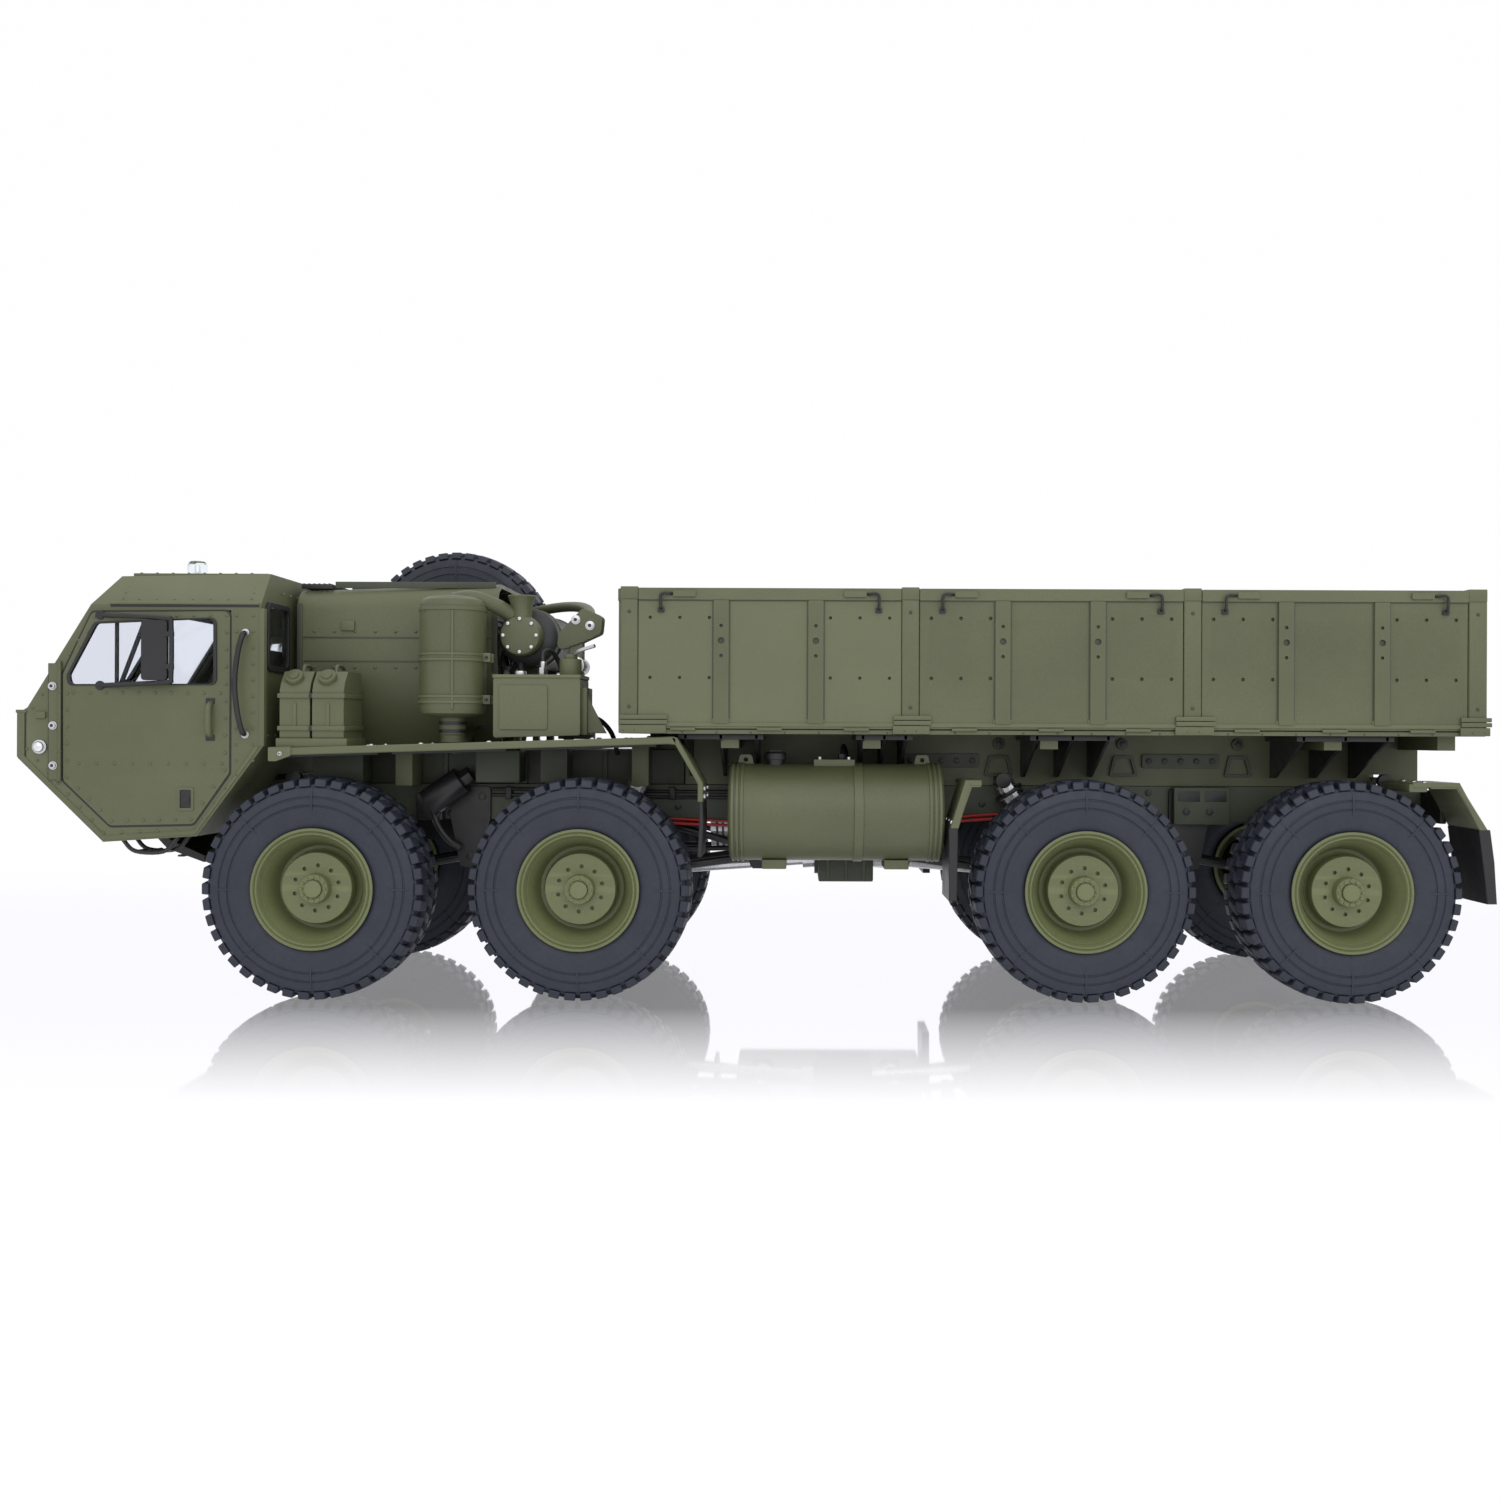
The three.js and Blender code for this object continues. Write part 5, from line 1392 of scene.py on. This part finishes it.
def build_suspension():
    for i, x in enumerate(AXLE_X):
        springs, caps = Kit(), Kit()
        for side in (-1, 1):
            top = Vector((SHOCK_TOP[i], side * SHOCK_Y, SHOCK_TOP_Z))
            foot = Vector((x, side * SHOCK_Y, AXLE_Z))
            down = (foot - top).normalized()
            coil(springs, top + down * 9, top + down * 46, 7.6, 0.95, 7)
            for distance, radius, thick in ((7.2, 8.8, 2.2), (46.4, 8.6, 2.0)):
                caps.cylinder(top + down * distance, top + down * (distance + thick), radius, sides=28,
                              bevel=0.4)
            caps.cylinder(top + Vector((0, side * 3.2, 0)), top + Vector((0, side * 8, 0)), 4.6, sides=28,
                          bevel=0.6)
        springs.piece(f"coil_springs_{i + 1}", "steel", smooth=60)
        caps.piece(f"shock_caps_{i + 1}", "black_metal")

        body = f"axle_{i + 1}"
        casing = Kit()
        casing.revolve([(0, -19), (8, -18.6), (13, -16), (16.4, -10), (17.6, -3), (17.8, 0), (17.6, 3),
                        (16.4, 10),
                        (13, 16), (8, 18.6), (0, 19)], (x, 0, AXLE_Z), "Y", 48)
        casing.revolve([(0, -20.6), (10.4, -20.4), (12.6, -19), (13.4, -16), (13.6, 0), (13.4, 16), (0, 16)],
                       (x, 0, AXLE_Z), "X", 36)
        for side in (-1, 1):
            casing.revolve(rect(7.2, 9.6, side * 20, side * 24), (x, 0, AXLE_Z), "Y",
                           32, True)
            casing.box((x - 9, x + 9), (side * 38.5, side * 47.5), (AXLE_Z - 9.5, AXLE_Z - 4), 0.8)
            casing.cylinder((x, side * 37.6, AXLE_Z), (x, side * 49, AXLE_Z), 6.6, bevel=0.6)
        casing.piece(f"axle_casing_{i + 1}", "black_metal", body)
        bolts = Kit()
        for y, z in circle((0, AXLE_Z), 11.4, 10):
            bolts.cylinder((x - 13.6, y, z), (x - 21.4, y, z), 1.1, sides=6, bevel=0.2)
        bolts.piece(f"axle_bolts_{i + 1}", "steel", body)
        links = Kit()
        pivot = LINK_PIVOT_X[i]
        for y in (-24, 24):
            links.revolve(rect(2.4, 5.4, -5.6, 5.6), (pivot, y, LINK_PIVOT_Z), "Y", 28, True)
            links.cylinder((pivot, y - 6, LINK_PIVOT_Z), (pivot, y + 6, LINK_PIVOT_Z), 2.2, sides=6,
                           bevel=0.3)
        links.piece(f"link_bushes_{i + 1}", "steel", body)
    hangers, screws, sockets = Kit(), Kit(), Kit()
    for pivot in LINK_PIVOT_X:
        for side in (-1, 1):
            outline = [(pivot - 12, 118), (pivot + 12, 118), (pivot + 12, 100), (pivot + 6, 70),
                       (pivot - 6, 70), (pivot - 12, 100)]
            hangers.plate(rounded(outline, 2.4), (side * 36.1, side * 38.2), bevel=0.5)
            points = ((pivot - 7, 112), (pivot + 7, 112), (pivot, LINK_PIVOT_Z))
            side_screws(screws, sockets, points, side * 38, side, 1.9)
    hangers.piece("link_hangers", "black_metal")
    screws.piece("hanger_screws", "black_metal")
    sockets.piece("hanger_screw_sockets", "black_metal")


def build_steering():
    for i in (1, 2):
        x = AXLE_X[i - 1]
        for name, side in SIDES.items():
            body = f"knuckle_{i}_{name}"
            drum = Kit()
            drum.revolve([(0, side * 78.4), (13, side * 78.6), (15, side * 80), (15.4, side * 84),
                          (15.4, side * 87),
                          (0, side * 87)], (x, 0, AXLE_Z), "Y", 40)
            drum.revolve([(0, -12.4), (4.9, -12.2), (5.4, -11.2), (5.4, 11.2), (4.9, 12.2), (0, 12.4)],
                         (x, side * 72, AXLE_Z), "Z", 24)
            drum.tube([(x + 4, side * 72, AXLE_Z), (x + 14, side * 72, AXLE_Z + 1.6),
                       (x + 23, side * 72, AXLE_Z + 1)],
                      3.2, 12)
            drum.piece(f"knuckle_drum_{i}_{name}", "black_metal", body)
            joint = Kit()
            joint.revolve([(0, -4.6), (2.8, -4.2), (3.6, -2.6), (3.6, 2.6), (2.8, 4.2), (0, 4.6)],
                          (x + 21, side * 72, AXLE_Z), "Z", 20)
            joint.piece(f"knuckle_ball_{i}_{name}", "steel", body)
    gear = Kit()
    gear.cylinder((-196, -46, 108), (-176, -46, 122), 8.6, sides=32, bevel=0.8)
    gear.cylinder((-178, -46, 120.6), (-170.6, -46, 125.8), 5.4, sides=6, bevel=0.6)
    gear.box((-204, -188), (-45, -36.4), (98, 114), 1.2)
    gear.cylinder((-194, -47, 104), (-194, -36, 104), 5.6, sides=28, bevel=0.6)
    gear.tube([(-194, -45, 104), (-190, -45, 94), (-184, -44, 86), (-178, -42, 82)], 2.2, 12)
    gear.piece("steering_box", "black_metal")
    frames = Kit()
    for x0, x1, z0, z1 in ((-262, -232, 121, 138), (-166, -140, 121, 140), (-128, -112, 121, 141)):
        for side in (-1, 1):
            frames.box((x0, x1), (side * 38, side * 56), (z0, z1), 1.0)
    for side in (-1, 1):
        frames.box((-268, -45), (side * 31.4, side * 34.6), (119.8, 140.4), 0.5)
        frames.box((-66, -42), (side * 26, side * 31), (119.8, 151), 0.5)
        for x in range(-262, -70, 24):
            frames.box((x, x + 3), (side * 34.4, side * 36.2), (120, 140), 0.5)
    frames.piece("under_deck_boxes", "frame_olive")


def build_lines():
    """Wires and pipes clipped along the rails, and the short shafts between neighbouring axles."""
    wires = Kit()
    for lift in (0, 2.6):
        wires.tube([(-150, -37.4, 103 + lift), (-100, -37.8, 99 + lift), (-40, -37.2, 96 + lift),
                    (20, -34, 94 + lift), (90, -37.4, 96 + lift), (150, -37.8, 100 + lift),
                    (205, -37.2, 97 + lift), (260, -30, 95 + lift)], 0.9)
    wires.piece("lead_wires", "red_lead", smooth=60)
    pipes = Kit()
    for side in (-1, 1):
        y = side * 37.6
        for z in (113, 116.4):
            pipes.tube([(-160, y, z), (-120, y, z), (-60, y, z - 1), (0, y, z - 1)], 1.0)
        for x in (-150, -104, -52, -12):
            pipes.box((x - 2, x + 2), (side * 36, side * 39), (110.6, 118), 0.5)
        pipes.tube([(-96, side * 20, 84), (-60, side * 18, 80), (-20, side * 16, 80), (8, side * 14, 82)],
                   1.6)
    pipes.piece("frame_pipes", "black_plastic", smooth=60)
    stays = Kit()
    for side in (-1, 1):
        ends = [(-58, side * 30, 96), (-6, side * 32, 82)]
        stays.cylinder(*ends, 2.2, sides=18)
        for x, y, z in ends:
            stays.cylinder((x, y - 4, z), (x, y + 4, z), 4.2, bevel=0.6)
    stays.piece("frame_stays", "black_metal")
    box = Kit()
    box.box((36.2, 69.8), (-20.4, 20.4), (59.8, 74), 1.4)
    for x in (42, 53, 64):
        box.box((x - 1, x + 1), (-21.2, 21.2), (61, 112))
    box.revolve(rect(0, 9, 34, 36.6), (0, 0, 72), "X", 32)
    box.piece("gearbox_ribs", "frame_olive")
    motor = Kit()
    for k in range(14):
        x = -26 + k * 3.6
        motor.revolve(rect(17, 18.6, x - 0.7, x + 0.7), (0, 0, MOTOR_Z), "X", 40, True)
    motor.piece("motor_fins", "black_metal")


def build_running_gear():
    build_suspension()
    build_steering()
    build_lines()


# ---------------------------------------------------------------- kept CAD nodes

NODE_FINISH = {
    "olive_paint": ("cab_shell", "door", "engine_cover", "fender_deck", "jerry_can_rack", "air_cleaner",
                    "hydraulic_unit", "battery_box", "cargo_bed", "side_panel", "tailgate"),
    "rim_olive": ("fuel_tank", ),
    "frame_olive": ("ladder_frame", "gearbox"),
    "black_metal": ("front_bumper", "muffler", "axle", "knuckle"),
    "steel": ("drive_motor", "prop_shaft", "shock"),
    "black_plastic": ("steering_servo", "battery_pack"),
    "seat_plastic": ("cab_interior", ),
    "window_clear": ("windshield", ),
}


def finish_cad_nodes():
    """Gives the CAD nodes their material and a small rounded edge, by the start of their names."""
    for name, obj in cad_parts.items():
        finish = next((key for key, starts in NODE_FINISH.items() if name.startswith(starts)), None)
        if not finish:
            continue
        obj.data.materials.clear()
        obj.data.materials.append(MATERIALS[finish])
        bevel = obj.modifiers.new("edge", "BEVEL")
        bevel.width = 0.5 * MM
        bevel.segments = 2
        bevel.limit_method = "ANGLE"
        bevel.angle_limit = math.radians(38)


# ---------------------------------------------------------------- stage, light and camera

CAMERA_PLACE = (22.8, -902.0, 148.9)
CAMERA_ROLL = 0.22
LENS = 34.56
FRAME_SHIFT = (-0.0313, -0.0093)
FLOOR_NEAR, FLOOR_FAR, FLOOR_HALF = -2.6, 2.6, 4.0
COVE, WALL_TOP = 0.8, 4.0


def build_stage():
    """A white floor whose gloss fades out in front of the truck, and a white wall far behind it."""
    profile = [(FLOOR_NEAR, 0), (FLOOR_FAR, 0)]
    for k in range(1, 13):
        turn = math.pi / 2 * k / 12
        profile.append((FLOOR_FAR + COVE * math.sin(turn), COVE * (1 - math.cos(turn))))
    profile.append((FLOOR_FAR + COVE, WALL_TOP))
    floor = bpy.data.meshes.new("floor")
    verts = [(x, y, z) for y, z in profile for x in (-FLOOR_HALF, FLOOR_HALF)]
    faces = [(2 * k, 2 * k + 1, 2 * k + 3, 2 * k + 2) for k in range(len(profile) - 1)]
    floor.from_pydata(verts, [], faces)
    material, tree, shader = new_material("floor_white")
    shader.inputs["Base Color"].default_value = (0.05, 0.05, 0.05, 1)
    shader.inputs["Specular IOR Level"].default_value = 0.0
    shader.inputs["Roughness"].default_value = 1.0
    shader.inputs["Emission Color"].default_value = (0.98, 0.975, 1, 1)
    shader.inputs["Emission Strength"].default_value = 0.97
    gloss = add_node(tree, "ShaderNodeBsdfAnisotropic", Roughness=0.04, Color=(0.95, 0.95, 0.98, 1))
    coords = tree.nodes.new("ShaderNodeTexCoord")
    split = tree.nodes.new("ShaderNodeSeparateXYZ")
    tree.links.new(coords.outputs["Object"], split.inputs["Vector"])
    product = tree.nodes.new("ShaderNodeMath")
    product.operation = "MULTIPLY"
    for slot, (start, end, low, high) in enumerate(((-0.315, -0.115, 0.0, 0.76), (0.25, 0.7, 1.0, 0.0))):
        fade = add_node(tree, "ShaderNodeMapRange", From_Min=start, From_Max=end, To_Min=low, To_Max=high)
        tree.links.new(split.outputs["Y"], fade.inputs["Value"])
        tree.links.new(fade.outputs["Result"], product.inputs[slot])
    blend = tree.nodes.new("ShaderNodeMixShader")
    for source, target in ((product.outputs["Value"], blend.inputs["Fac"]),
                           (shader.outputs["BSDF"], blend.inputs[1]),
                           (gloss.outputs["BSDF"], blend.inputs[2])):
        tree.links.new(source, target)
    tree.links.new(blend.outputs["Shader"], tree.nodes["Material Output"].inputs["Surface"])
    floor.materials.append(material)
    for polygon in floor.polygons:
        polygon.use_smooth = True
    obj = bpy.data.objects.new("floor", floor)
    bpy.context.scene.collection.objects.link(obj)


def area_light(name, place_at, aim, size, power):
    light = bpy.data.lights.new(name, "AREA")
    light.shape = "RECTANGLE"
    light.size, light.size_y = size
    light.energy = power
    obj = bpy.data.objects.new(name, light)
    obj.location = place_at
    obj.rotation_euler = (Vector(aim) - Vector(place_at)).to_track_quat("-Z", "Y").to_euler()
    bpy.context.scene.collection.objects.link(obj)


def build_light_and_camera():
    world = bpy.data.worlds.new("studio")
    world.use_nodes = True
    world.node_tree.nodes["Background"].inputs["Color"].default_value = (1, 1, 1, 1)
    world.node_tree.nodes["Background"].inputs["Strength"].default_value = 1.0
    bpy.context.scene.world = world
    area_light("top_soft", (0.0, -0.5, 1.9), (0, 0, 0), (3.0, 1.6), 4)
    area_light("front_soft", (0.45, -2.0, 1.3), (0.1, 0, 0.12), (2.4, 1.2), 10)
    camera = bpy.data.cameras.new("camera")
    camera.sensor_width = 36.0
    camera.lens = LENS
    camera.shift_x, camera.shift_y = FRAME_SHIFT
    obj = bpy.data.objects.new("camera", camera)
    obj.location = [v * MM for v in CAMERA_PLACE]
    obj.rotation_euler = (math.pi / 2, -math.radians(CAMERA_ROLL), 0)
    bpy.context.scene.collection.objects.link(obj)
    bpy.context.scene.camera = obj
    bpy.context.scene.view_settings.view_transform = "Standard"


build_light_and_camera()
build_stage()
build_wheels()
build_cab()
build_engine_bay()
build_cargo()
build_running_gear()
finish_cad_nodes()
